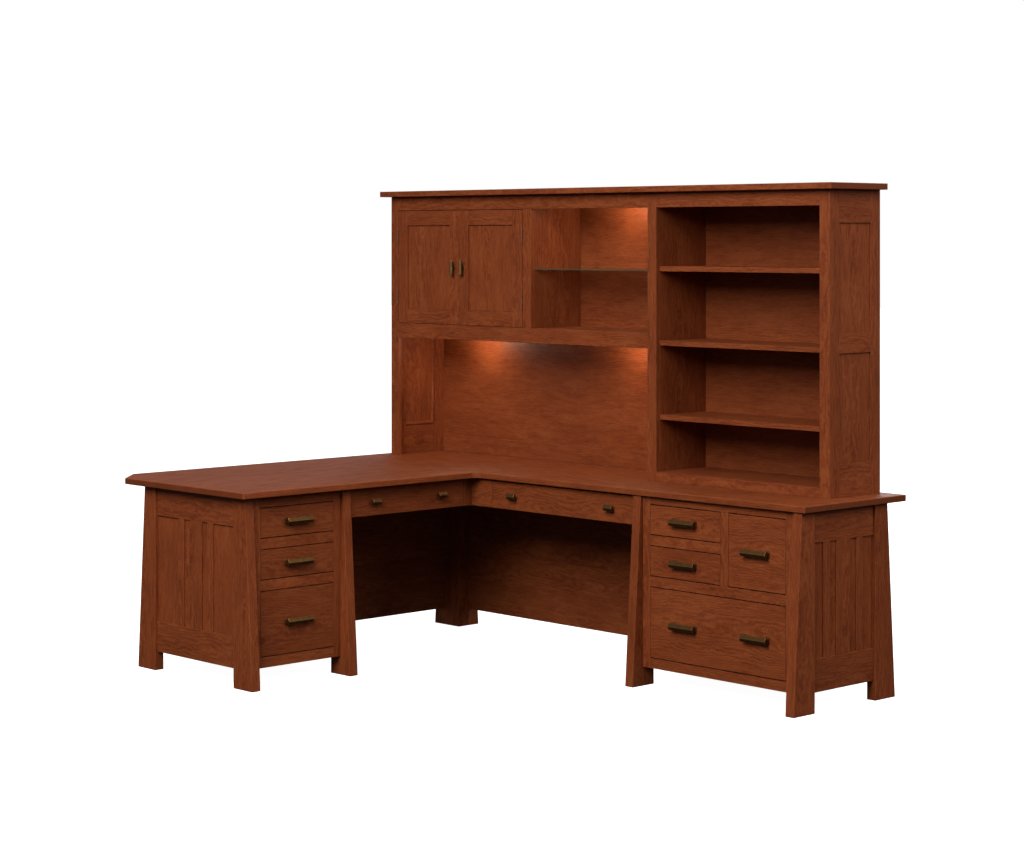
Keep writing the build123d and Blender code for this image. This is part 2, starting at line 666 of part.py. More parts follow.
def runners(levels):
    """Every runner: from the board beside a drawer into the groove of its box."""
    reach = GROOVE_DEPTH - RUNNER_CLEARANCE
    pieces = []
    left_wall = C_PED_LEFT + END_PANEL_INSET + SIDE_THICKNESS
    right_wall = C_PED_RIGHT - END_PANEL_INSET - SIDE_THICKNESS
    divider_left = (C_SMALL_RIGHT + C_TALL_LEFT - BOTTOM_THICKNESS) / 2
    divider_right = divider_left + BOTTOM_THICKNESS
    credenza = (
        (c_upper, left_wall, divider_left),
        (c_middle, left_wall, divider_left),
        (c_tall, divider_right, right_wall),
        (c_file, left_wall, right_wall),
    )
    for opening, wall0, wall1 in credenza:
        z = levels[opening]
        box0 = opening.side0 + BOX_SIDE_CLEARANCE
        box1 = opening.side1 - BOX_SIDE_CLEARANCE
        y0, y1 = C_FRONT_LEG_INNER, C_BACK_LEG_INNER
        pieces.append(runner(wall0, box0 + reach, y0, y1, z))
        pieces.append(runner(box1 - reach, wall1, y0, y1, z))
    end_wall = W_PED_END + END_PANEL_INSET + SIDE_THICKNESS
    inner_wall = W_PED_INNER - END_PANEL_INSET - SIDE_THICKNESS
    for opening in (w_upper, w_middle, w_file):
        z = levels[opening]
        box0 = opening.side0 + BOX_SIDE_CLEARANCE
        box1 = opening.side1 - BOX_SIDE_CLEARANCE
        x0, x1 = W_BACK_LEG_INNER + BACK_THICKNESS, W_FRONT_LEG_INNER
        pieces.append(runner(x0, x1, end_wall, box0 + reach, z))
        pieces.append(runner(x0, x1, box1 - reach, inner_wall, z))
    # pencil drawers: one runner on the kneehole panel, one on the hanger
    z = levels[c_pencil]
    box0 = c_pencil.side0 + HANGER_OFFSET
    box1 = c_pencil.side1 - HANGER_OFFSET
    back = C_FACE + FRONT_THICKNESS + PENCIL_BOX_DEPTH
    pieces.append(
        runner(c_pencil.side0 + FRONT_SIDE_GAP, box0 + reach, C_FRONT_LEG_INNER, back, z)
    )
    pieces.append(
        runner(box1 - reach, C_PED_LEFT + END_PANEL_INSET, C_FRONT_LEG_INNER, back, z)
    )
    z = levels[w_pencil]
    box0 = w_pencil.side0 + HANGER_OFFSET
    box1 = w_pencil.side1 - HANGER_OFFSET
    back = W_FACE - FRONT_THICKNESS - PENCIL_BOX_DEPTH
    pieces.append(
        runner(back, W_FRONT_LEG_INNER, W_PED_INNER - END_PANEL_INSET, box0 + reach, z)
    )
    pieces.append(
        runner(back, W_FRONT_LEG_INNER, box1 - reach, w_pencil.side1 - FRONT_SIDE_GAP, z)
    )
    return pieces


def apron_boards():
    """The fillers at the inner corner and the hangers that carry the pencil drawers."""
    low = PENCIL_UNDERSIDE + FRONT_HEIGHT_GAP
    credenza_filler = block(
        W_FACE, c_pencil.side0, C_FACE, C_FACE + FRONT_THICKNESS, low, UNDER_TOP
    )
    wing_filler = block(
        W_FACE - FRONT_THICKNESS, W_FACE,
        w_pencil.side1, C_FACE + FRONT_THICKNESS, low, UNDER_TOP,
    )
    credenza_hanger = block(
        c_pencil.side0 + FRONT_SIDE_GAP - HANGER_THICKNESS, c_pencil.side0 + FRONT_SIDE_GAP,
        C_FACE + FRONT_THICKNESS, C_FACE + FRONT_THICKNESS + PENCIL_BOX_DEPTH, low, UNDER_TOP,
    )
    wing_hanger = block(
        W_FACE - FRONT_THICKNESS - PENCIL_BOX_DEPTH, W_FACE - FRONT_THICKNESS,
        w_pencil.side1 - FRONT_SIDE_GAP, w_pencil.side1 - FRONT_SIDE_GAP + HANGER_THICKNESS,
        low, UNDER_TOP,
    )
    return [credenza_filler, wing_filler, credenza_hanger, wing_hanger]


# ---- hutch ----

def hutch_side(outer, inward):
    """A frame round two recessed panels; outer is its outside face, inward is +1 or -1."""
    inner = outer + inward * SIDE_THICKNESS
    x0, x1 = min(outer, inner), max(outer, inner)
    y0, y1 = H_INSIDE_FRONT, H_BACK
    stile_front = H_FRONT + SIDE_STILE
    stile_back = H_BACK - SIDE_STILE
    low = DESK_HEIGHT
    top_rail_low = H_TOP - SIDE_TOP_RAIL
    middle_high = DESK_HEIGHT + SIDE_MIDDLE_RAIL_TOP
    middle_low = middle_high - SIDE_MIDDLE_RAIL
    bottom_high = low + SIDE_BOTTOM_RAIL
    middle = (outer + inner) / 2
    p0, p1 = middle - SIDE_PANEL / 2, middle + SIDE_PANEL / 2
    return [
        block(x0, x1, y0, stile_front, low, H_TOP),
        block(x0, x1, stile_back, y1, low, H_TOP),
        block(x0, x1, stile_front, stile_back, top_rail_low, H_TOP),
        block(x0, x1, stile_front, stile_back, middle_low, middle_high),
        block(x0, x1, stile_front, stile_back, low, bottom_high),
        block(p0, p1, stile_front, stile_back, middle_high, top_rail_low),
        block(p0, p1, stile_front, stile_back, bottom_high, middle_low),
    ]


def hutch_partitions():
    """The wall beside the door cabinet and the wall beside the bookcase."""
    cabinet_wall = block(
        CABINET_WALL_LEFT, CABINET_WALL_RIGHT, H_INSIDE_FRONT, H_INSIDE_BACK, H_RAIL_TOP, H_TOP
    )
    bookcase_wall = block(
        BOOKS_WALL_LEFT, BOOKS_WALL_RIGHT, H_INSIDE_FRONT, H_INSIDE_BACK, DESK_HEIGHT, H_TOP
    )
    return [cabinet_wall, bookcase_wall]


def hutch_face_frame():
    """Stiles and rails across the hutch's front."""
    members = (
        (H_LEFT, DOORS_LEFT, DESK_HEIGHT, H_TOP),
        (BOOKS_RIGHT, H_RIGHT, DESK_HEIGHT, H_TOP),
        (BAY_RIGHT, BOOKS_LEFT, DESK_HEIGHT, H_TOP),
        (DOORS_LEFT, BAY_RIGHT, H_OPEN_TOP, H_TOP),
        (BOOKS_LEFT, BOOKS_RIGHT, H_OPEN_TOP, H_TOP),
        (DOORS_RIGHT, BAY_LEFT, H_RAIL_TOP, H_OPEN_TOP),
        (DOORS_LEFT, BAY_RIGHT, H_RAIL_LOW, H_RAIL_TOP),
        (BOOKS_LEFT, BOOKS_RIGHT, DESK_HEIGHT, BOOKS_FLOOR),
    )
    return [block(x0, x1, H_FRONT, H_INSIDE_FRONT, z0, z1) for x0, x1, z0, z1 in members]


def hutch_crown():
    """The board on top of the hutch, proud of it at the front and both ends."""
    return block(
        H_LEFT - CROWN_OVERHANG, H_RIGHT + CROWN_OVERHANG,
        H_FRONT - CROWN_OVERHANG, H_BACK, H_TOP, H_TOP + CROWN_THICKNESS,
    )


def hutch_back():
    """The back boards, one behind the work bay and cabinets, one behind the bookcase."""
    left_board = block(
        H_WALL_LEFT, BOOKS_WALL_LEFT, H_INSIDE_BACK, H_BACK, DESK_HEIGHT, H_TOP
    )
    right_board = block(
        BOOKS_WALL_LEFT, H_WALL_RIGHT, H_INSIDE_BACK, H_BACK, DESK_HEIGHT, H_TOP
    )
    return [left_board, right_board]


def cabinet_floor():
    """The board under the doors and the open bay, level with the top of its rail."""
    return block(
        H_WALL_LEFT, BOOKS_WALL_LEFT, H_INSIDE_FRONT, H_INSIDE_BACK,
        H_RAIL_TOP - SHELF, H_RAIL_TOP,
    )


def hutch_shelves():
    """The bookcase floor and shelves, and the shelf behind the doors."""
    front = H_FRONT + SHELF_SETBACK
    pieces = [
        block(
            BOOKS_WALL_RIGHT, H_WALL_RIGHT, H_INSIDE_FRONT, H_INSIDE_BACK,
            BOOKS_FLOOR - SHELF, BOOKS_FLOOR,
        )
    ]
    for rise in BOOKCASE_SHELF_RISES:
        top = DESK_HEIGHT + rise
        pieces.append(
            block(
                BOOKS_WALL_RIGHT + SHELF_END_GAP, H_WALL_RIGHT - SHELF_END_GAP,
                front, H_INSIDE_BACK, top - SHELF, top,
            )
        )
    cabinet_top = H_RAIL_TOP + CABINET_SHELF_RISE
    pieces.append(
        block(
            H_WALL_LEFT + SHELF_END_GAP, CABINET_WALL_LEFT - SHELF_END_GAP,
            front + DOOR_THICKNESS, H_INSIDE_BACK, cabinet_top - SHELF, cabinet_top,
        )
    )
    return pieces


def glass_shelf():
    """The glass shelf across the open bay."""
    low = H_RAIL_TOP + GLASS_RISE
    return block(
        CABINET_WALL_RIGHT + SHELF_END_GAP, BOOKS_WALL_LEFT - SHELF_END_GAP,
        H_INSIDE_FRONT + GLASS_SETBACK, H_INSIDE_BACK, low, low + GLASS_THICKNESS,
    )


def shelf_pins():
    """Two pins at each end of every loose shelf, seated in the walls' faces."""
    glass_low = H_RAIL_TOP + GLASS_RISE
    cabinet_low = H_RAIL_TOP + CABINET_SHELF_RISE - SHELF
    shelves = [
        (CABINET_WALL_RIGHT, BOOKS_WALL_LEFT, glass_low),
        (H_WALL_LEFT, CABINET_WALL_LEFT, cabinet_low),
    ]
    for rise in BOOKCASE_SHELF_RISES:
        shelves.append((BOOKS_WALL_RIGHT, H_WALL_RIGHT, DESK_HEIGHT + rise - SHELF))
    depth = H_INSIDE_BACK - H_FRONT
    rows = (H_FRONT + depth / 4, H_FRONT + depth * 5 / 6)
    pins = []
    for wall0, wall1, underside in shelves:
        for y in rows:
            z = underside - PIN_RADIUS
            pins.append(rod(wall0, y, z, (1, 0, 0), PIN_RADIUS, PIN_LENGTH))
            pins.append(rod(wall1, y, z, (-1, 0, 0), PIN_RADIUS, PIN_LENGTH))
    return pins


# ---- lights ----

def puck_places():
    """The middle of each light's mounting face: x, y, z."""
    y = (H_INSIDE_FRONT + H_INSIDE_BACK) / 2
    under_floor = H_RAIL_TOP - SHELF
    open_bay = (BAY_LEFT + BAY_RIGHT) / 2
    work_bay = (DOORS_LEFT + BAY_RIGHT) / 2
    return (
        (open_bay, y, H_TOP),
        (work_bay - PUCK_SPREAD, y, under_floor),
        (work_bay + PUCK_SPREAD, y, under_floor),
    )


def light_housings():
    """Shallow discs fixed under the crown and under the cabinet floor."""
    height = PUCK_HEIGHT - LENS_THICKNESS
    return [rod(x, y, z, (0, 0, -1), PUCK_RADIUS, height) for x, y, z in puck_places()]


def light_lenses():
    """The frosted discs under the housings."""
    height = PUCK_HEIGHT - LENS_THICKNESS
    return [
        rod(x, y, z - height, (0, 0, -1), PUCK_RADIUS - PUCK_RIM, LENS_THICKNESS)
        for x, y, z in puck_places()
    ]


# ---- doors and hinges ----

DOOR_LOW = H_RAIL_TOP + DOOR_GAP
DOOR_HIGH = H_OPEN_TOP - DOOR_GAP
DOOR_MIDDLE = (DOORS_LEFT + DOORS_RIGHT) / 2
HINGE_Y = H_FRONT - HINGE_FORWARD
HINGE_HEIGHTS = (DOOR_LOW + HINGE_END_DISTANCE, DOOR_HIGH - HINGE_END_DISTANCE - HINGE_LENGTH)


def door(hinge_side, meeting_side):
    """A frame round a recessed panel, between the hinge side and the meeting side in X."""
    x0, x1 = min(hinge_side, meeting_side), max(hinge_side, meeting_side)
    y0, y1 = H_FRONT, H_FRONT + DOOR_THICKNESS
    middle = (y0 + y1) / 2
    p0, p1 = middle - DOOR_PANEL / 2, middle + DOOR_PANEL / 2
    inner_left, inner_right = x0 + DOOR_STILE, x1 - DOOR_STILE
    panel_low, panel_high = DOOR_LOW + DOOR_RAIL, DOOR_HIGH - DOOR_RAIL
    return [
        block(x0, inner_left, y0, y1, DOOR_LOW, DOOR_HIGH),
        block(inner_right, x1, y0, y1, DOOR_LOW, DOOR_HIGH),
        block(inner_left, inner_right, y0, y1, DOOR_LOW, panel_low),
        block(inner_left, inner_right, y0, y1, panel_high, DOOR_HIGH),
        block(inner_left, inner_right, p0, p1, panel_low, panel_high),
    ]


def door_pull(x):
    """An upright bar on one post, in the middle of the door's height."""
    height = (DOOR_LOW + DOOR_HIGH) / 2
    bar_back = H_FRONT - DOOR_PULL_REACH + PULL_BAR_DEPTH
    half_post = PULL_POST_WIDTH / 2
    return [
        block(
            x - DOOR_PULL_WIDTH / 2, x + DOOR_PULL_WIDTH / 2,
            H_FRONT - DOOR_PULL_REACH, bar_back,
            height - DOOR_PULL_HEIGHT / 2, height + DOOR_PULL_HEIGHT / 2,
        ),
        block(
            x - half_post, x + half_post, bar_back, H_FRONT,
            height - half_post, height + half_post,
        ),
    ]


def knuckle(x, z0, z1):
    """One tube of the hinge barrel."""
    outer = rod(x, HINGE_Y, z0, (0, 0, 1), HINGE_BARREL_RADIUS, z1 - z0)
    bore_radius = HINGE_PIN_RADIUS + HINGE_PIN_CLEARANCE
    return outer - rod(x, HINGE_Y, z0, (0, 0, 1), bore_radius, z1 - z0)


def leaf(x, wood, z0, z1):
    """A flat leaf from the barrel's wall back along the face of the wood at X = wood."""
    towards = 1 if wood > x else -1
    x0, x1 = sorted((wood, wood - towards * HINGE_LEAF))
    y0 = HINGE_Y
    y1 = HINGE_Y + HINGE_FORWARD + HINGE_LEAF_WIDTH
    plate = block(x0, x1, y0, y1, z0, z1)
    clearance = rod(x, HINGE_Y, z0, (0, 0, 1), HINGE_PIN_RADIUS + HINGE_PIN_CLEARANCE, z1 - z0)
    return plate - clearance


def hinge_axis_x(stile):
    """The pin stands in the middle of the gap beside the stile."""
    return stile + HINGE_GAP / 2 if stile == DOORS_LEFT else stile - HINGE_GAP / 2


def frame_leaf(stile, z):
    """The leaf on the face frame's stile, with the top and bottom knuckles."""
    x = hinge_axis_x(stile)
    third = HINGE_LENGTH / 3
    pieces = knuckle(x, z, z + third) + knuckle(x, z + 2 * third, z + HINGE_LENGTH)
    plate = leaf(x, stile, z, z + HINGE_LENGTH)
    room = rod(
        x, HINGE_Y, z + third, (0, 0, 1), HINGE_BARREL_RADIUS + KNUCKLE_GAP, third
    )
    return (plate - room) + pieces


def door_leaf(stile, z):
    """The leaf on the door's edge, with the middle knuckle."""
    x = hinge_axis_x(stile)
    third = HINGE_LENGTH / 3
    edge = 2 * x - stile
    plate = leaf(x, edge, z, z + HINGE_LENGTH)
    for start in (z, z + 2 * third - KNUCKLE_GAP):
        room = rod(
            x, HINGE_Y, start, (0, 0, 1), HINGE_BARREL_RADIUS + KNUCKLE_GAP, third + KNUCKLE_GAP
        )
        plate = plate - room
    return plate + knuckle(x, z + third + KNUCKLE_GAP, z + 2 * third - KNUCKLE_GAP)


# ---- write every node ----

save("credenza_top", *credenza_top())
save("wing_top", wing_top())
save("pedestal_legs", *pedestal_legs())
save("corner_legs", *corner_legs())
save("credenza_end_panel", *credenza_end_panel())
save("wing_end_panel", *wing_end_panel())
save("kneehole_panels", *kneehole_panels())
save("credenza_face_frame", *credenza_face_frame())
save("wing_face_frame", *wing_face_frame())
save("pedestal_boards", *pedestal_boards())
save("modesty_panels", *modesty_panels())
save("corner_bolts", *corner_bolts())
save("apron_boards", *apron_boards())

left_pulls = (c_upper.middle(),)
levels = {}
levels[c_upper] = pedestal_drawer(
    "credenza_upper", c_upper, CREDENZA_PLACE, small_box_high(c_upper), left_pulls
)
levels[c_middle] = pedestal_drawer(
    "credenza_middle", c_middle, CREDENZA_PLACE, small_box_high(c_middle), left_pulls
)
levels[c_tall] = pedestal_drawer(
    "credenza_tall", c_tall, CREDENZA_PLACE, small_box_high(c_tall), (c_tall.middle(),)
)
levels[c_file] = pedestal_drawer(
    "credenza_file", c_file, CREDENZA_PLACE, file_box_high(c_file),
    (c_upper.middle(), c_tall.middle()),
)
levels[w_upper] = pedestal_drawer(
    "wing_upper", w_upper, WING_PLACE, small_box_high(w_upper), (w_upper.middle(),)
)
levels[w_middle] = pedestal_drawer(
    "wing_middle", w_middle, WING_PLACE, small_box_high(w_middle), (w_middle.middle(),)
)
levels[w_file] = pedestal_drawer(
    "wing_file", w_file, WING_PLACE, file_box_high(w_file), (w_file.middle(),)
)
levels[c_pencil] = pencil_drawer("credenza_pencil", c_pencil, CREDENZA_PLACE)
levels[w_pencil] = pencil_drawer("wing_pencil", w_pencil, WING_PLACE)
save("drawer_runners", *runners(levels))

save("hutch_sides", *hutch_side(H_LEFT, 1), *hutch_side(H_RIGHT, -1))
save("hutch_partitions", *hutch_partitions())
save("hutch_face_frame", *hutch_face_frame())
save("hutch_crown", hutch_crown())
save("hutch_back", *hutch_back())
save("cabinet_floor", cabinet_floor())
save("hutch_shelves", *hutch_shelves())
save("glass_shelf", glass_shelf())
save("shelf_pins", *shelf_pins())
save("light_housings", *light_housings())
save("light_lenses", *light_lenses())

save("left_door", *door(DOORS_LEFT + HINGE_GAP, DOOR_MIDDLE - DOOR_GAP / 2))
save("right_door", *door(DOORS_RIGHT - HINGE_GAP, DOOR_MIDDLE + DOOR_GAP / 2))
save("left_door_pull", *door_pull(DOOR_MIDDLE - DOOR_PULL_INSET))
save("right_door_pull", *door_pull(DOOR_MIDDLE + DOOR_PULL_INSET))
save("left_door_leaves", *[door_leaf(DOORS_LEFT, z) for z in HINGE_HEIGHTS])
save("right_door_leaves", *[door_leaf(DOORS_RIGHT, z) for z in HINGE_HEIGHTS])
save(
    "frame_hinge_leaves",
    *[frame_leaf(stile, z) for stile in (DOORS_LEFT, DOORS_RIGHT) for z in HINGE_HEIGHTS],
)
save(
    "hinge_pins",
    *[
        rod(hinge_axis_x(stile), HINGE_Y, z, (0, 0, 1), HINGE_PIN_RADIUS, HINGE_LENGTH)
        for stile in (DOORS_LEFT, DOORS_RIGHT)
        for z in HINGE_HEIGHTS
    ],
)
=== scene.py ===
"""A corner desk in stained cherry, with brass pulls, glass, lights and a plain studio."""

import json
import logging
import math
import random
from collections.abc import Callable
from dataclasses import dataclass, field
from enum import Enum

import bmesh
import bpy
from bpy.types import Material, NodeSocket, Object
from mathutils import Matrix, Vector


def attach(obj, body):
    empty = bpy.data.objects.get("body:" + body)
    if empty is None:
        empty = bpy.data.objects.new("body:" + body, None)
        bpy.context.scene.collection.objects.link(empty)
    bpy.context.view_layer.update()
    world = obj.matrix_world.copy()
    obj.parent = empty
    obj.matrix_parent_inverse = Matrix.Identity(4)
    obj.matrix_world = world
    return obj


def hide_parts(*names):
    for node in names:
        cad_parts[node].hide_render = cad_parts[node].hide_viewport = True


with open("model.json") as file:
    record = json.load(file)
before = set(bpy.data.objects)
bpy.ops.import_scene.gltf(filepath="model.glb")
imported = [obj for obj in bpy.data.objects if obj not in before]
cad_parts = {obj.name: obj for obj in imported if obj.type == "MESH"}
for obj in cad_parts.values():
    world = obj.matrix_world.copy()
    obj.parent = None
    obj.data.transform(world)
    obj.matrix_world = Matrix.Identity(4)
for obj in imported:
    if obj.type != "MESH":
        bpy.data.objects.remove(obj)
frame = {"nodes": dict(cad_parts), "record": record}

LOG = logging.getLogger("corner_desk")
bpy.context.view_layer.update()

Colour = tuple[float, float, float]
Triple = tuple[float, float, float]
Span = tuple[float, float]
Outline = list[tuple[float, float]]

AXIS_X = Vector((1, 0, 0)).freeze()
AXIS_Y = Vector((0, 1, 0)).freeze()
AXIS_Z = Vector((0, 0, 1)).freeze()
WHITE: Colour = (1.0, 1.0, 1.0)
# Two measures nearer than this are the same, in metres.
TOUCH = 1e-5
# The range that nearly all of a noise texture's values lie in, and its middle part.
NOISE_BAND: Span = (0.3, 0.7)
MIDDLE_BAND: Span = (0.35, 0.65)
FULL_BAND: Span = (0.0, 1.0)
# A Map Range node's inputs for the two ranges that it maps between.
MAP_LIMITS = ("From Min", "From Max", "To Min", "To Max")
# The wave texture draws this many radians of wave for each unit of length.
WAVE_RATE = 20
# Faces that meet at less than this angle are one flat area.
FLAT = math.radians(1.0)
# Edges sharper than this are eased.
SHARP_EDGE = math.radians(20)
# Edges sharper than this stay sharp in the shading.
SHARP_SHADE = math.radians(50)


class Grain(Enum):
    """Which way a board's grain runs; LONGEST follows its longest side."""

    X = 0
    Y = 1
    Z = 2
    LONGEST = 3


class Slot(Enum):
    """The record's material slots that pieces of this desk take their finish from."""

    CHERRY = "cherry"
    DRAWER_WOOD = "drawer_wood"
    BRASS = "antique_brass"
    STEEL = "hardware_steel"
    GLASS = "shelf_glass"
    BRONZE = "bronze_housing"
    LENS = "frosted_lens"


# ---- finishes ----


class Graph:
    """A material's node tree, with short calls that add and join its nodes."""

    def __init__(self, name: str) -> None:
        """Starts a material that holds one Principled shader.

        Args:
            name: the material's name.
        """
        self.material: Material = bpy.data.materials.new(name)
        self.material.use_nodes = True
        self.tree = self.material.node_tree
        self.tree.nodes.clear()
        self.shader = self.tree.nodes.new("ShaderNodeBsdfPrincipled")
        output = self.tree.nodes.new("ShaderNodeOutputMaterial")
        self.tree.links.new(self.shader.outputs["BSDF"], output.inputs["Surface"])

    def feed(self, node: bpy.types.Node, name: str | int, value: object) -> None:
        """Links a socket into a node's input, or sets the input to a plain value.

        Args:
            node: the node.
            name: the input's name or number.
            value: a socket or a plain value.
        """
        if isinstance(value, NodeSocket):
            self.tree.links.new(value, node.inputs[name])
        else:
            node.inputs[name].default_value = value

    def set(self, **inputs: object) -> None:
        """Feeds the shader's inputs; an underscore in a name stands for a space."""
        for name, value in inputs.items():
            self.feed(self.shader, name.replace("_", " "), value)

    def attribute(self, name: str) -> NodeSocket:
        """The vector that a mesh attribute holds.

        Args:
            name: the attribute's name.

        Returns:
            The socket of its vector.
        """
        node = self.tree.nodes.new("ShaderNodeAttribute")
        node.attribute_name = name
        return node.outputs["Vector"]

    def position(self) -> NodeSocket:
        """The piece's own coordinates, in metres."""
        return self.tree.nodes.new("ShaderNodeTexCoord").outputs["Object"]

    def parts(self, vector: NodeSocket) -> tuple[NodeSocket, NodeSocket, NodeSocket]:
        """A vector's three components.

        Args:
            vector: the coordinates or colour that it starts from.

        Returns:
            The sockets of the first, second and third component.
        """
        node = self.tree.nodes.new("ShaderNodeSeparateXYZ")
        self.feed(node, 0, vector)
        return node.outputs[0], node.outputs[1], node.outputs[2]

    def stretch(self, vector: NodeSocket, scales: Triple) -> NodeSocket:
        """A vector with each component multiplied by its own scale.

        Args:
            vector: the coordinates or colour that it starts from.
            scales: the scale of each component.

        Returns:
            The socket of the stretched vector.
        """
        node = self.tree.nodes.new("ShaderNodeVectorMath")
        node.operation = "MULTIPLY"
        self.feed(node, 0, vector)
        self.feed(node, 1, scales)
        return node.outputs["Vector"]

    def push(self, vector: NodeSocket, by: NodeSocket, scales: Triple) -> NodeSocket:
        """A vector moved by another one, multiplied by scales.

        Args:
            vector: the coordinates or colour that it starts from.
            by: the vector that moves it.
            scales: the scale of each component.

        Returns:
            The socket of the moved vector.
        """
        node = self.tree.nodes.new("ShaderNodeVectorMath")
        node.operation = "MULTIPLY_ADD"
        self.feed(node, 0, by)
        self.feed(node, 1, scales)
        self.feed(node, 2, vector)
        return node.outputs["Vector"]

    def noise(self, vector: NodeSocket, scale: float, detail: float) -> bpy.types.Node:
        """A noise texture; its outputs are Fac and Color.

        Args:
            vector: the coordinates or colour that it starts from.
            scale: how fine the noise is.
            detail: how many finer layers it holds.

        Returns:
            The texture node.
        """
        node = self.tree.nodes.new("ShaderNodeTexNoise")
        self.feed(node, "Vector", vector)
        self.feed(node, "Scale", scale)
        self.feed(node, "Detail", detail)
        return node

    def clouds(self, vector: NodeSocket, scale: float, detail: float) -> NodeSocket:
        """The value of a noise texture."""
        return self.noise(vector, scale, detail).outputs["Fac"]

    def drawn(self, vector: NodeSocket, scales: Triple, detail: float) -> NodeSocket:
        """The value of a noise texture with a scale of its own along each direction."""
        return self.clouds(self.stretch(vector, scales), 1.0, detail)

    def math(self, operation: str, a: object, b: object) -> NodeSocket:
        """One arithmetic step, held between 0 and 1 only where the operation does so.

        Args:
            operation: the Math node's operation.
            a: the first value.
            b: the second value.

        Returns:
            The socket of the result.
        """
        node = self.tree.nodes.new("ShaderNodeMath")
        node.operation = operation
        self.feed(node, 0, a)
        self.feed(node, 1, b)
        return node.outputs[0]

    def times(self, a: object, b: object) -> NodeSocket:
        """One value multiplied by another."""
        return self.math("MULTIPLY", a, b)

    def spread(self, value: NodeSocket, band: Span, to: Span) -> NodeSocket:
        """A value mapped from the ends of `band` to the ends of `to`, held inside them.

        Args:
            value: the value.
            band: the range that it is read over.
            to: the range that it is mapped to.

        Returns:
            The socket of the mapped value.
        """
        node = self.tree.nodes.new("ShaderNodeMapRange")
        self.feed(node, "Value", value)
        for name, limit in zip(MAP_LIMITS, band + to, strict=True):
            self.feed(node, name, limit)
        return node.outputs["Result"]

    def mix(self, factor: object, a: object, b: object) -> NodeSocket:
        """Two colours mixed by a factor.

        Args:
            factor: how much of the second colour shows.
            a: the first colour.
            b: the second colour.

        Returns:
            The socket of the mixed colour.
        """
        node = self.tree.nodes.new("ShaderNodeMix")
        node.data_type = "RGBA"
        self.feed(node, 0, factor)
        for index, value in ((6, a), (7, b)):
            if isinstance(value, tuple):
                value = (*value, 1.0)
            self.feed(node, index, value)
        return node.outputs[2]

    def ramp(self, factor: NodeSocket, stops: tuple[float, ...], *colours: Colour) -> NodeSocket:
        """A colour read from a ramp with a colour at each stop.

        Args:
            factor: the place on the ramp.
            stops: where the colours stand.
            *colours: the colour of each stop.

        Returns:
            The socket of the colour.
        """
        node = self.tree.nodes.new("ShaderNodeValToRGB")
        elements = node.color_ramp.elements
        while len(elements) < len(stops):
            elements.new(0.5)
        for element, place, colour in zip(elements, stops, colours, strict=True):
            element.position = place
            element.color = (*colour, 1.0)
        self.feed(node, 0, factor)
        return node.outputs["Color"]

    def bump(self, height: NodeSocket, distance: float, strength: float) -> NodeSocket:
        """A normal raised by a height, for an input named Normal.

        Args:
            height: the height.
            distance: how far a height of 1 stands out, in metres.
            strength: how much of it shows.

        Returns:
            The socket of the normal.
        """
        node = self.tree.nodes.new("ShaderNodeBump")
        self.feed(node, "Height", height)
        self.feed(node, "Distance", distance)
        self.feed(node, "Strength", strength)
        return node.outputs["Normal"]


@dataclass(frozen=True)
class Figure:
    """One layer of a wood's figure.

    Attributes:
        along: how fine it is along the grain.
        across: how fine it is across the grain.
        detail: how many finer layers it holds.
        weight: its share in the wood's colour.
    """

    along: float
    across: float
    detail: float
    weight: float = 0.0

    def on(self, g: Graph, grain: NodeSocket) -> NodeSocket:
        """This layer, drawn on grain coordinates."""
        return g.drawn(grain, (self.along, self.across, self.across), self.detail)


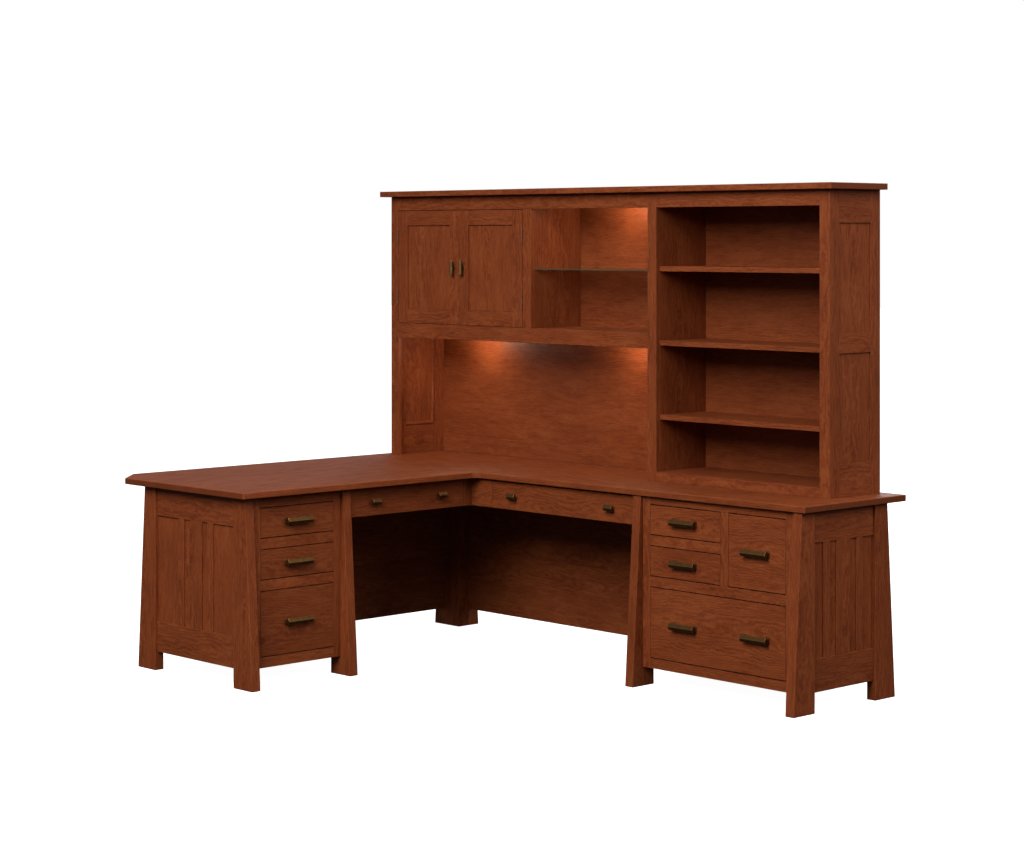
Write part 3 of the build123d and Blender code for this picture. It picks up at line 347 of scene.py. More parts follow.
@dataclass(frozen=True)
class WoodFinish:
    """Satin-coated wood that follows each board's own grain coordinates.

    Attributes:
        drift: how quickly the grain's bends follow one another in each direction.
        bend: how far the grain leaves a straight line.
        stops: where the dark, middle and light colours lie in the figure.
        line_band: the band of the fine dark lines, from their edge to their heart.
        pore_band: the same for the pores.
        pore_cover: how much of the pore colour the lines and pores take.
        end_cover: how much of the end grain's colour end grain takes.
        eased_cover: how much of the light colour eased edges take.
        pore_depth: how deep the pores are beside the fibres' height.
        relief: the height of the fibres, in metres.
    """

    name: str
    dark: Colour
    middle: Colour
    light: Colour
    pore: Colour
    end_grain: Colour
    ring_spacing: float = 0.0065
    ring_weight: float = 0.16
    drift: Triple = (3.2, 9.0, 9.0)
    bend: float = 0.050
    streaks: Figure = Figure(11.0, 66.0, 5.0, 0.38)
    flecks: Figure = Figure(38.0, 190.0, 3.0, 0.24)
    fibres: Figure = Figure(60.0, 700.0, 2.0, 0.16)
    clouds: Figure = Figure(4.0, 11.0, 3.0, 0.34)
    lines: Figure = Figure(15.0, 310.0, 4.0)
    specks: Figure = Figure(110.0, 1150.0, 1.0)
    stops: Triple = (0.45, 0.62, 0.80)
    line_band: Span = (0.54, 0.70)
    pore_band: Span = (0.60, 0.72)
    pore_cover: float = 0.55
    end_cover: float = 0.6
    eased_cover: float = 0.30
    pore_depth: float = 0.8
    relief: float = 0.00012
    smoothest: float = 0.44
    roughest: float = 0.56
    specular: float = 0.11
    coat: float = 0.04
    coat_roughness: float = 0.30

    def rings(self, g: Graph, grain: NodeSocket) -> NodeSocket:
        """The growth rings, drawn on grain coordinates.

        Args:
            g: the material's graph.
            grain: the grain coordinates.

        Returns:
            The socket of their value.
        """
        wave = g.tree.nodes.new("ShaderNodeTexWave")
        wave.wave_type = "RINGS"
        wave.rings_direction = "X"
        g.feed(wave, "Vector", grain)
        g.feed(wave, "Scale", 2 * math.pi / (WAVE_RATE * self.ring_spacing))
        g.feed(wave, "Distortion", 5.0)
        g.feed(wave, "Detail", 3.0)
        g.feed(wave, "Detail Scale", 0.9)
        return wave.outputs["Fac"]

    def material(self) -> Material:
        """Builds rings, streaks, fibres and pores, darker end grain, lighter eased edges, and the
        painted shade that each face carries.

        Returns:
            The finished material.
        """
        g = Graph(self.name)
        grain = g.attribute("grain")
        tone_and_painted_shade, eased, end = g.parts(g.attribute("marks"))
        drift = g.noise(g.stretch(grain, self.drift), 1.0, 2.0)
        bent = g.push(grain, drift.outputs["Color"], (0.0, self.bend, self.bend))
        streaks, flecks, fibres, lines, specks = (
            layer.on(g, bent)
            for layer in (self.streaks, self.flecks, self.fibres, self.lines, self.specks)
        )
        clouds = self.clouds.on(g, grain)
        figure = g.times(self.rings(g, bent), self.ring_weight)
        for value, layer in (
            (streaks, self.streaks), (flecks, self.flecks),
            (fibres, self.fibres), (clouds, self.clouds),
        ):
            figure = g.math("ADD", figure, g.times(value, layer.weight))
        colour = g.ramp(figure, self.stops, self.dark, self.middle, self.light)
        cover = (0.0, self.pore_cover)
        pores = g.spread(specks, self.pore_band, cover)
        for factor, over in (
            (g.spread(lines, self.line_band, cover), self.pore),
            (pores, self.pore),
            (g.times(end, self.end_cover), self.end_grain),
            (g.times(eased, self.eased_cover), self.light),
        ):
            colour = g.mix(factor, colour, over)
        # The first mark darkens each face by its stave's random lightness and by painted shade: in
        # the gaps between parts, under the tops and in the wing's corner.
        shade = g.tree.nodes.new("ShaderNodeHueSaturation")
        g.feed(shade, "Value", tone_and_painted_shade)
        g.feed(shade, "Color", colour)
        height = g.math("SUBTRACT", fibres, g.times(pores, self.pore_depth))
        g.set(
            Base_Color=shade.outputs["Color"],
            Roughness=g.spread(streaks, NOISE_BAND, (self.roughest, self.smoothest)),
            Normal=g.bump(height, self.relief, 0.5),
            Specular_IOR_Level=self.specular,
            Coat_Weight=self.coat,
            Coat_Roughness=self.coat_roughness,
        )
        return g.material


@dataclass(frozen=True)
class AntiqueBrass:
    """Brass darkened all over and rubbed back to metal along its edges."""

    name: str = "antique_brass"
    patina: Colour = (0.085, 0.0370, 0.0095)
    brass: Colour = (0.140, 0.0640, 0.0165)
    rubbed: Colour = (0.34, 0.21, 0.080)
    rubbing: Span = (0.30, 0.45)
    metallic: float = 0.90
    roughness: Span = (0.50, 0.36)
    mottle: float = 55.0
    grit: float = 1400.0
    grit_height: float = 0.00006

    def material(self) -> Material:
        """Builds mottled patina, rubbed edges and a fine cast skin.

        Returns:
            The finished material.
        """
        g = Graph(self.name)
        place = g.position()
        _, eased, _ = g.parts(g.attribute("marks"))
        mottle = g.clouds(place, self.mottle, 3.0)
        colour = g.ramp(mottle, NOISE_BAND, self.patina, self.brass)
        rub = g.times(eased, g.spread(mottle, NOISE_BAND, self.rubbing))
        g.set(
            Base_Color=g.mix(rub, colour, self.rubbed),
            Metallic=self.metallic,
            Roughness=g.spread(mottle, NOISE_BAND, self.roughness),
            Normal=g.bump(g.clouds(place, self.grit, 2.0), self.grit_height, 0.6),
        )
        return g.material


@dataclass(frozen=True)
class PlatedSteel:
    """Bronze-plated steel, drawn along its length."""

    name: str = "hardware_steel"
    deep: Colour = (0.115, 0.036, 0.014)
    bright: Colour = (0.190, 0.064, 0.026)
    metallic: float = 0.35
    roughness: Span = (0.40, 0.52)
    draw: Triple = (1500.0, 1500.0, 60.0)
    draw_depth: float = 0.00003
    cloud: float = 60.0

    def material(self) -> Material:
        """Builds fine upright draw lines over the plating's cloudy tone.

        Returns:
            The finished material.
        """
        g = Graph(self.name)
        place = g.position()
        lines = g.drawn(place, self.draw, 2.0)
        clouds = g.clouds(place, self.cloud, 2.0)
        g.set(
            Base_Color=g.ramp(clouds, MIDDLE_BAND, self.deep, self.bright),
            Metallic=self.metallic,
            Roughness=g.spread(lines, NOISE_BAND, self.roughness),
            Normal=g.bump(lines, self.draw_depth, 0.5),
        )
        return g.material


@dataclass(frozen=True)
class ClearGlass:
    """Clear shelf glass with dark, dull edges."""

    name: str = "shelf_glass"
    face: Colour = (0.93, 0.97, 0.95)
    edge: Colour = (0.070, 0.066, 0.030)
    edge_roughness: float = 0.5
    wiping: Triple = (6.0, 30.0, 6.0)
    wiped: Span = (0.01, 0.05)
    clearness: Span = (1.0, 0.45)
    shine: Span = (0.5, 0.15)

    def material(self) -> Material:
        """Builds clear faces, dark edges and faint wiping marks.

        Returns:
            The finished material.
        """
        g = Graph(self.name)
        _, eased, end = g.parts(g.attribute("marks"))
        rim = g.math("MAXIMUM", eased, end)
        wiping = g.drawn(g.position(), self.wiping, 3.0)
        wiped = g.spread(wiping, (0.45, 0.8), self.wiped)
        g.set(
            Base_Color=g.mix(rim, self.face, self.edge),
            Roughness=g.math("MAXIMUM", wiped, g.times(rim, self.edge_roughness)),
            Transmission_Weight=g.spread(rim, FULL_BAND, self.clearness),
            Specular_IOR_Level=g.spread(rim, FULL_BAND, self.shine),
            IOR=1.5,
        )
        return g.material


@dataclass(frozen=True)
class BronzeLacquer:
    """Dark bronze lacquer with a little orange peel."""

    name: str = "bronze_housing"
    low: Colour = (0.035, 0.022, 0.014)
    high: Colour = (0.070, 0.046, 0.030)
    metallic: float = 0.4
    roughness: Span = (0.30, 0.42)
    cloud: float = 140.0
    peel: float = 900.0
    peel_height: float = 0.00004

    def material(self) -> Material:
        """Builds the lacquer's depth and its fine peel.

        Returns:
            The finished material.
        """
        g = Graph(self.name)
        place = g.position()
        clouds = g.clouds(place, self.cloud, 3.0)
        g.set(
            Base_Color=g.ramp(clouds, MIDDLE_BAND, self.low, self.high),
            Metallic=self.metallic,
            Roughness=g.spread(clouds, NOISE_BAND, self.roughness),
            Normal=g.bump(g.clouds(place, self.peel, 1.0), self.peel_height, 0.5),
        )
        return g.material


@dataclass(frozen=True)
class FrostedLens:
    """A frosted disc lit warm from behind."""

    name: str = "frosted_lens"
    face: Colour = (0.96, 0.88, 0.74)
    frost: Colour = (0.86, 0.74, 0.56)
    glow: Colour = (1.0, 0.66, 0.34)
    strength: float = 5.0
    roughness: Span = (0.35, 0.6)
    grit: float = 1100.0
    grit_height: float = 0.00008

    def material(self) -> Material:
        """Builds the frosting's grit and the warm glow.

        Returns:
            The finished material.
        """
        g = Graph(self.name)
        grit = g.clouds(g.position(), self.grit, 2.0)
        g.set(
            Base_Color=g.mix(grit, self.frost, self.face),
            Roughness=g.spread(grit, NOISE_BAND, self.roughness),
            Normal=g.bump(grit, self.grit_height, 0.6),
            Emission_Color=(*self.glow, 1.0),
            Emission_Strength=self.strength,
        )
        return g.material


@dataclass(frozen=True)
class PaleFloor:
    """A pale, matt studio floor."""

    name: str = "studio_floor"
    low: Colour = (0.80, 0.80, 0.80)
    high: Colour = (0.86, 0.86, 0.86)
    roughness: float = 0.9
    lift: float = 0.97

    def material(self) -> Material:
        """Builds a faint cloudiness over the whole floor, with a little light of its own.

        Returns:
            The finished material.
        """
        g = Graph(self.name)
        g.set(
            Base_Color=g.mix(g.clouds(g.position(), 0.8, 2.0), self.low, self.high),
            Roughness=self.roughness,
            Emission_Color=(*WHITE, 1.0),
            Emission_Strength=self.lift,
        )
        return g.material


CHERRY = WoodFinish(
    name="cherry",
    dark=(0.122, 0.0235, 0.0062),
    middle=(0.186, 0.0405, 0.0112),
    light=(0.238, 0.0590, 0.0175),
    pore=(0.080, 0.0165, 0.0050),
    end_grain=(0.092, 0.0200, 0.0062),
)
DRAWER_WOOD = WoodFinish(
    name="drawer_wood",
    dark=(0.40, 0.235, 0.115),
    middle=(0.52, 0.33, 0.175),
    light=(0.60, 0.41, 0.235),
    pore=(0.30, 0.17, 0.08),
    end_grain=(0.34, 0.20, 0.10),
    ring_spacing=0.005,
)


@dataclass
class Finishes:
    """Every finish of the desk, made once and handed out by slot."""

    made: dict[Slot, Material] = field(init=False)

    def __post_init__(self) -> None:
        """Makes each slot's material."""
        kinds = {
            Slot.CHERRY: CHERRY,
            Slot.DRAWER_WOOD: DRAWER_WOOD,
            Slot.BRASS: AntiqueBrass(),
            Slot.STEEL: PlatedSteel(),
            Slot.GLASS: ClearGlass(),
            Slot.BRONZE: BronzeLacquer(),
            Slot.LENS: FrostedLens(),
        }
        self.made = {slot: kind.material() for slot, kind in kinds.items()}

    def __getitem__(self, slot: Slot) -> Material:
        """The material of one slot."""
        return self.made[slot]


# ---- solids read from the frame ----


@dataclass
class Solid:
    """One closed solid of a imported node, in metres.

    Attributes:
        points: its corners.
        faces: its triangles, as places in points.
    """

    points: list[Vector]
    faces: list[tuple[int, ...]]

    def low(self) -> Vector:
        """The lowest corner of its box."""
        return Vector(min(p[axis] for p in self.points) for axis in range(3))

    def high(self) -> Vector:
        """The highest corner of its box."""
        return Vector(max(p[axis] for p in self.points) for axis in range(3))

    def centre(self) -> Vector:
        """The middle of its box."""
        return (self.low() + self.high()) / 2

    def size(self) -> Vector:
        """The lengths of its box's sides."""
        return self.high() - self.low()


def solids_of(node: str) -> list[Solid]:
    """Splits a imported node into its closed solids.

    A solid's triangles follow one another, so it ends where each edge has been met from both sides.

    Args:
        node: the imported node's name.

    Returns:
        The node's solids, in the order that it holds them.
    """
    mesh = frame["nodes"][node].data
    keys = [tuple(round(c, 6) for c in vertex.co) for vertex in mesh.vertices]
    found: list[Solid] = []
    places: dict[tuple[float, ...], int] = {}
    faces: list[tuple[int, ...]] = []
    open_edges: set[tuple[int, int]] = set()
    for polygon in mesh.polygons:
        corners = tuple(places.setdefault(keys[i], len(places)) for i in polygon.vertices)
        faces.append(corners)
        for a, b in zip(corners, corners[1:] + corners[:1], strict=True):
            if (b, a) in open_edges:
                open_edges.remove((b, a))
            else:
                open_edges.add((a, b))
        if not open_edges:
            found.append(Solid([Vector(p) for p in places], faces))
            places, faces = {}, []
    return found


def body_of(node: str) -> str:
    """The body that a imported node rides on."""
    bodies = frame["record"]["behaviour"]["bodies"]
    return next(body for body, members in bodies.items() if node in members)


def add_object(name: str, data: bpy.types.ID) -> Object:
    """Adds a new object to the scene.

    Args:
        name: the object's name.
        data: its mesh, light or camera.

    Returns:
        The object.
    """
    made = bpy.data.objects.new(name, data)
    bpy.context.scene.collection.objects.link(made)
    return made


# ---- meshes ----


@dataclass
class Easing:
    """How a piece's sharp edges are rounded.

    Attributes:
        width: how far the rounding reaches from the edge.
        segments: how many facets it has.
        tight: the width along edges that `is_tight` picks, such as a glued seam.
    """

    width: float = 0.0010
    segments: int = 2
    tight: float = 0.0004
    is_tight: Callable[[Vector, Vector], bool] | None = None

    def apply(self, bm: bmesh.types.BMesh) -> None:
        """Rounds every sharp edge and notes the new faces in the layer named eased.

        Args:
            bm: the shape to be eased.
        """
        layer = bm.faces.layers.int.get("eased") or bm.faces.layers.int.new("eased")
        sharp = [e for e in bm.edges if e.calc_face_angle(0.0) > SHARP_EDGE]
        picked = self.is_tight or (lambda a, b: False)
        tight = [e for e in sharp if picked(e.verts[0].co, e.verts[1].co)]
        wide = [e for e in sharp if e not in tight]
        for edges, width in ((wide, self.width), (tight, self.tight)):
            edges = [e for e in edges if e.is_valid]
            if edges:
                done = bmesh.ops.bevel(
                    bm, geom=edges, offset=width, segments=self.segments,
                    profile=0.5, affect="EDGES", clamp_overlap=True,
                )
                for face in done["faces"]:
                    face[layer] = 1


def bmesh_of(points: list[Vector], faces: list[tuple[int, ...]]) -> bmesh.types.BMesh:
    """Builds a closed mesh, with flat areas joined into single faces.

    Args:
        points: its corners.
        faces: its faces, as places in points.

    Returns:
        The mesh, with its faces turned outwards.
    """
    bm = bmesh.new()
    corners = [bm.verts.new(p) for p in points]
    for face in faces:
        bm.faces.new([corners[i] for i in face])
    bmesh.ops.recalc_face_normals(bm, faces=bm.faces[:])
    bmesh.ops.dissolve_limit(bm, angle_limit=FLAT, verts=bm.verts[:], edges=bm.edges[:])
    return bm


@dataclass(frozen=True)
class Place:
    """Where a drawn part goes: an origin and its three directions.

    Attributes:
        origin: the point that the part is drawn round.
        across: the direction of its first coordinate.
        out: the direction of its second coordinate.
        up: the direction of its third coordinate.
    """

    origin: Vector
    across: Vector
    out: Vector
    up: Vector

    def point(self, a: float, o: float, u: float) -> Vector:
        """The frame's point for one drawn point."""
        return self.origin + self.across * a + self.out * o + self.up * u


def prism(outline: Outline, start: float, end: float, place: Place) -> bmesh.types.BMesh:
    """An outline in (out, up), drawn from start to end across.

    Args:
        outline: the section's corners, in order.
        start: where it starts across.
        end: where it ends across.
        place: where it goes.

    Returns:
        The closed mesh.
    """
    count = len(outline)
    points = [place.point(a, o, u) for a in (start, end) for o, u in outline]
    faces: list[tuple[int, ...]] = [tuple(range(count)), tuple(range(count, 2 * count))]
    for i in range(count):
        j = (i + 1) % count
        faces.append((i, j, count + j, count + i))
    return bmesh_of(points, faces)


def frustum(
    near: tuple[float, float], far: tuple[float, float], start: float, end: float, place: Place
) -> bmesh.types.BMesh:
    """A square bar that changes size as it goes out.

    Args:
        near: its size across and up where it starts.
        far: its size across and up where it ends.
        start: where it starts, measured out.
        end: where it ends.
        place: where it goes.

    Returns:
        The closed mesh.
    """
    signs = ((-1, -1), (1, -1), (1, 1), (-1, 1))
    points = [
        place.point(a * size[0] / 2, o, u * size[1] / 2)
        for size, o in ((near, start), (far, end))
        for a, u in signs
    ]
    faces = [(0, 1, 2, 3), (4, 5, 6, 7)]
    faces += [(i, (i + 1) % 4, 4 + (i + 1) % 4, 4 + i) for i in range(4)]
    return bmesh_of(points, faces)


def lathe(profile: Outline, place: Place, steps: int) -> bmesh.types.BMesh:
    """A profile of (radius, height) turned round the `up` direction; its ends lie on the axis.

    Args:
        profile: the points from one end of the axis to the other, radius 0 at both ends.
        place: where it goes.
        steps: how many facets it has round the axis.

    Returns:
        The closed mesh.
    """
    bm = bmesh.new()
    rows: list[list[bmesh.types.BMVert]] = []
    for radius, height in profile:
        turns = [2 * math.pi * i / steps for i in range(steps if radius else 1)]
        ring = [place.point(radius * math.cos(t), radius * math.sin(t), height) for t in turns]
        rows.append([bm.verts.new(point) for point in ring])
    for lower, upper in zip(rows, rows[1:], strict=False):
        for i in range(steps):
            j = (i + 1) % steps
            around = ((lower, i), (lower, j), (upper, j), (upper, i))
            corners = dict.fromkeys(row[k % len(row)] for row, k in around)
            bm.faces.new(list(corners))
    bmesh.ops.recalc_face_normals(bm, faces=bm.faces[:])
    return bm


# A face that looks along the grain by more than this is end grain.
END_GRAIN = 0.8


@dataclass
class Piece:
    """One finished piece, gathered from several solids, with its grain and marks.

    Attributes:
        name: the piece's name.
        nodes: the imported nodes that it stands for.
        slot: the material slot of its finish.
    """

    name: str
    nodes: tuple[str, ...]
    slot: Slot
    points: list[Vector] = field(default_factory=list)
    faces: list[list[int]] = field(default_factory=list)
    grain: list[float] = field(default_factory=list)
    marks: list[float] = field(default_factory=list)

    def take(
        self,
        bm: bmesh.types.BMesh,
        axis: int = 0,
        shift: Callable[[Vector], Vector] = lambda centre: Vector(),
        tone_and_painted_shade: Callable[[Vector], float] = lambda centre: 1.0,
    ) -> None:
        """Adds one solid and frees it.

        Args:
            bm: the finished solid.
            axis: the axis that its grain runs along.
            shift: for a face's middle, how far its grain coordinates are moved.
            tone_and_painted_shade: for a face's middle, how light its wood is: random lightness and
                painted shade together.
        """
        order = (axis, (axis + 1) % 3, (axis + 2) % 3)
        layer = bm.faces.layers.int.get("eased")
        start = len(self.points)
        bm.verts.index_update()
        bm.normal_update()
        self.points.extend(v.co.copy() for v in bm.verts)
        for face in bm.faces:
            centre = face.calc_center_median()
            moved = shift(centre)
            for corner in face.verts:
                at = corner.co + moved
                self.grain.extend(at[i] for i in order)
            self.faces.append([start + corner.index for corner in face.verts])
            eased = float(face[layer]) if layer else 0.0
            end = float(abs(face.normal[axis]) > END_GRAIN)
            self.marks.extend((tone_and_painted_shade(centre), eased, end))
        bm.free()

    def make(self, finishes: Finishes) -> None:
        """Makes the object, dresses it, and sets it on its body.

        Args:
            finishes: the desk's finishes.
        """
        mesh = bpy.data.meshes.new(self.name)
        mesh.from_pydata(self.points, [], self.faces)
        grain = mesh.attributes.new("grain", "FLOAT_VECTOR", "CORNER")
        grain.data.foreach_set("vector", self.grain)
        marks = mesh.attributes.new("marks", "FLOAT_VECTOR", "FACE")
        marks.data.foreach_set("vector", self.marks)
        mesh.materials.append(finishes[self.slot])
        mesh.shade_smooth()
        mesh.set_sharp_from_angle(angle=SHARP_SHADE)
        piece = add_object(self.name, mesh)
        normals = piece.modifiers.new("flat_faces", "WEIGHTED_NORMAL")
        normals.keep_sharp = True
        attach(piece, body_of(self.nodes[0]))
        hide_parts(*self.nodes)
        LOG.info("made %s with %d faces", self.name, len(self.faces))


@dataclass
class Board:
    """A board cut from one solid: eased, glued up from staves if wide, with grain of its own.

    Attributes:
        solid: the solid that it fills.
        seed: a name that fixes its random figure.
        grain: which way its grain runs.
        easing: how its edges are rounded.
        stave: the usual width of a stave, or 0 for a board in one piece.
        tone_and_painted_shade: how light its wood is; the values below 1 given to it are painted
            shade.
        rim: how dark its top and bottom faces are painted beside that, as painted shade in the gaps
            between parts.
        tone_spread: how much its staves differ in lightness.
        stave_widths: the narrowest and widest stave, beside the usual one.
        last_stave: the narrowest last stave, beside the usual one.
        heart_aside: the furthest that a stave lies to the side of its log's heart.
        heart_depth: how far a stave lies above or below the heart.
        along_log: the furthest that a stave lies along its log.
        painted_gap_depth: how near to its top or bottom a face must lie to take the painted gap
            shade.
    """

    solid: Solid
    seed: str
    grain: Grain = Grain.LONGEST
    easing: Easing = field(default_factory=Easing)
    stave: float = 0.0
    # Both factors below are painted shade: a darker whole board, and darker top and bottom faces
    # for the gaps between parts.
    tone_and_painted_shade: float = 1.0
    rim: float = 1.0
    tone_spread: float = 0.05
    stave_widths: Span = (0.75, 1.25)
    last_stave: float = 0.4
    heart_aside: float = 0.04
    heart_depth: Span = (0.035, 0.10)
    along_log: float = 9.0
    painted_gap_depth: float = 0.0004

    def axis(self) -> int:
        """The axis that the grain runs along.

        Returns:
            The axis, 0 to 2.
        """
        if self.grain is not Grain.LONGEST:
            return self.grain.value
        size = self.solid.size()
        return max(range(3), key=lambda i: size[i])

    def width_axis(self) -> int:
        """The axis that the staves lie side by side along."""
        size = self.solid.size()
        return max((i for i in range(3) if i != self.axis()), key=lambda i: size[i])

    def joints(self, chance: random.Random) -> list[float]:
        """Where the staves meet, along the width.

        Args:
            chance: the board's own random numbers.

        Returns:
            The place of each joint.
        """
        if not self.stave:
            return []
        width = self.width_axis()
        at, end = self.solid.low()[width], self.solid.high()[width]
        found = []
        while True:
            at += self.stave * chance.uniform(*self.stave_widths)
            if at > end - self.last_stave * self.stave:
                return found
            found.append(at)

    def into(self, piece: Piece, bm: bmesh.types.BMesh | None = None) -> None:
        """Finishes the board and adds it to a piece.

        Args:
            piece: the piece that it belongs to.
            bm: its shape, where that isn't the solid's own.
        """
        chance = random.Random(self.seed)
        bm = bm or bmesh_of(self.solid.points, self.solid.faces)
        self.easing.apply(bm)
        axis, width = self.axis(), self.width_axis()
        across = Vector(1.0 if i == width else 0.0 for i in range(3))
        cuts = self.joints(chance)
        for cut in cuts:
            bmesh.ops.bisect_plane(
                bm, geom=bm.verts[:] + bm.edges[:] + bm.faces[:], dist=1e-6,
                plane_co=across * cut, plane_no=across,
            )
        low, high = self.solid.low(), self.solid.high()
        edges = [low[width], *cuts, high[width]]
        staves = []
        for left, right in zip(edges, edges[1:], strict=False):
            middle = self.solid.centre()
            middle[width] = (left + right) / 2
            middle[width] += chance.uniform(-self.heart_aside, self.heart_aside)
            depth = 3 - axis - width
            middle[depth] += chance.choice((-1, 1)) * chance.uniform(*self.heart_depth)
            middle[axis] += chance.uniform(-self.along_log, self.along_log)
            staves.append((right, -middle, 1.0 + chance.uniform(-1, 1) * self.tone_spread))

        def stave_at(centre: Vector) -> tuple[float, Vector, float]:
            """The stave that a face's middle lies in."""
            return next((s for s in staves if centre[width] <= s[0]), staves[-1])

        def tone_and_painted_shade_at(centre: Vector) -> float:
            """How light the wood is at a face's middle: its stave's random lightness times the
            board's painted shade and the painted gap shade.
            """
            # Faces at the top and bottom take the rim factor: painted shade for the dark gaps
            # between parts.
            in_painted_gap_band = min(high.z - centre.z, centre.z - low.z) < self.painted_gap_depth
            return self.tone_and_painted_shade * stave_at(centre)[2] * (self.rim if in_painted_gap_band else 1.0)

        piece.take(bm, axis, lambda c: stave_at(c)[1], tone_and_painted_shade_at)


def board_piece(
    node: str,
    slot: Slot = Slot.CHERRY,
    grain: Grain = Grain.LONGEST,
    easing: Easing | None = None,
    stave: float = 0.0,
    tone_and_painted_shade: float = 1.0,
    rim: float = 1.0,
) -> Piece:
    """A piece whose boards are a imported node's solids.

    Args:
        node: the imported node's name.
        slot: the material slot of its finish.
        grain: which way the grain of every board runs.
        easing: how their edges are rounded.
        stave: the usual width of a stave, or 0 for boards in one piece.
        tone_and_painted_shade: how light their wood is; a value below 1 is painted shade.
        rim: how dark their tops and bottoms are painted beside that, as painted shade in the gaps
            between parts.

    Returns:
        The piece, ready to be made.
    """
    piece = Piece(f"{node}_boards", (node,), slot)
    for index, solid in enumerate(solids_of(node)):
        Board(solid, f"{node}{index}", grain, easing or Easing(), stave, tone_and_painted_shade, rim).into(piece)
    return piece


# ---- sub-assemblies ----


@dataclass
class Tops:
    """The two desk tops, edge-glued from staves and butted at the inner corner."""

    edge: float = 0.0035
    seam_edge: float = 0.0005
    stave: float = 0.125

    def build(self, finishes: Finishes) -> None:
        """Builds both tops.

        Args:
            finishes: the desk's finishes.
        """
        main, corner = solids_of("credenza_top")
        low, high = main.low(), main.high()
        seam, turn, tip = low.y, corner.low(), corner.high().x

        def on_seam(a: Vector, b: Vector) -> bool:
            """True for an edge that lies along the seam between the tops."""
            aside = max(abs(a.y - seam), abs(b.y - seam))
            return aside < TOUCH and min(a.x, b.x) < turn.x - TOUCH

        easing = Easing(self.edge, 3, self.seam_edge, on_seam)
        outline = [
            (seam, low.x), (seam, turn.x), (turn.y, turn.x),
            (seam, tip), (seam, high.x), (high.y, high.x), (high.y, low.x),
        ]
        place = Place(Vector(), AXIS_Z, AXIS_Y, AXIS_X)
        credenza = Piece("credenza_top_board", ("credenza_top",), Slot.CHERRY)
        shape = prism(outline, low.z, high.z, place)
        Board(main, "credenza_top", Grain.X, easing, self.stave).into(credenza, shape)
        credenza.make(finishes)
        board_piece("wing_top", grain=Grain.Y, easing=easing, stave=self.stave).make(finishes)


@dataclass
class Legs:
    """The flared legs of both pedestals and the corner post."""

    edge: float = 0.0022

    def build(self, finishes: Finishes) -> None:
        """Builds every leg with its grain upright."""
        for node in ("pedestal_legs", "corner_legs"):
            board_piece(node, grain=Grain.Z, easing=Easing(self.edge, 3)).make(finishes)


@dataclass
class Pedestals:
    """End panels, kneehole panels, face frames, backs, aprons and runners."""

    edge: float = 0.0010
    end_edge: float = 0.0014
    frame_edge: float = 0.0005
    seam: float = 0.0003
    panel_stave: float = 0.12
    # Painted shade on the face frames' rail tops and bottoms, for the dark gaps round the drawers.
    painted_gap_shade: float = 0.35
    # The aprons under the tops are painted darker: painted shade under the overhang.
    apron_painted_shade: float = 0.90

    def build(self, finishes: Finishes) -> None:
        """Builds every fixed board below the tops except the legs.

        Args:
            finishes: the desk's finishes.
        """
        for node in ("credenza_end_panel", "wing_end_panel"):
            board_piece(node, easing=Easing(self.end_edge)).make(finishes)
        # Face frames: their rails' tops and bottoms take the painted gap shade.
        for node in ("credenza_face_frame", "wing_face_frame"):
            board_piece(node, easing=Easing(self.frame_edge), rim=self.painted_gap_shade).make(finishes)
        seam = Easing(self.seam, 1)
        # Aprons: painted darker as painted shade under the tops' overhang.
        board_piece("apron_boards", easing=seam, tone_and_painted_shade=self.apron_painted_shade).make(finishes)
        for node in ("kneehole_panels", "pedestal_boards", "modesty_panels"):
            board_piece(node, easing=Easing(self.edge), stave=self.panel_stave).make(finishes)
        board_piece("drawer_runners", Slot.DRAWER_WOOD, easing=Easing(self.edge)).make(finishes)


@dataclass
class CornerBolts:
    """Domed bolt heads on washers beside the corner post.

    Attributes:
        washer: the washer's thickness.
        dome_share: the dome's radius beside the washer's.
        fullness: how boxy the dome is; a lower power is boxier.
        crown: the radius and height of the flat on top, beside the dome's.
    """

    washer: float = 0.0008
    dome_share: float = 0.82
    fullness: float = 0.8
    crown: Span = (0.18, 0.98)

    def build(self, finishes: Finishes) -> None:
        """Builds each head on the face that its solid stands on.

        Args:
            finishes: the desk's finishes.
        """
        piece = Piece("corner_bolt_heads", ("corner_bolts",), Slot.STEEL)
        for solid in solids_of("corner_bolts"):
            size, low, centre = solid.size(), solid.low(), solid.centre()
            if size.x < size.y:
                place = Place(Vector((low.x, centre.y, centre.z)), AXIS_Y, AXIS_Z, AXIS_X)
            else:
                foot = Vector((centre.x, solid.high().y, centre.z))
                place = Place(foot, AXIS_X, AXIS_Z, -AXIS_Y)
            height, radius = min(size), size.z / 2
            dome = radius * self.dome_share
            profile = [(0.0, 0.0), (radius, 0.0), (radius, self.washer), (dome, self.washer)]
            for step in range(1, 6):
                turn = step * math.pi / 12
                rise = (height - self.washer) * math.sin(turn) ** self.fullness
                profile.append((dome * math.cos(turn), self.washer + rise))
            crown = height * self.crown[1]
            profile += [(dome * self.crown[0], crown), (0.0, crown)]
            piece.take(lathe(profile, place, 32))
        piece.make(finishes)


@dataclass(frozen=True)
class Facing:
    """The directions of a drawer front: across it, out of it and up it."""

    across: Vector
    out: Vector
    up: Vector

    def place(self, origin: Vector) -> Place:
        """This facing at an origin."""
        return Place(origin, self.across, self.out, self.up)

    def reach(self, low: Vector, high: Vector) -> tuple[float, float]:
        """A box's nearest and furthest distance along `out`."""
        ends = sorted((low.dot(self.out), high.dot(self.out)))
        return ends[0], ends[1]


CREDENZA_FACING = Facing(AXIS_X, -AXIS_Y, AXIS_Z)
WING_FACING = Facing(AXIS_Y, AXIS_X, AXIS_Z)
DOOR_FACING = Facing(AXIS_Z, -AXIS_Y, -AXIS_X)


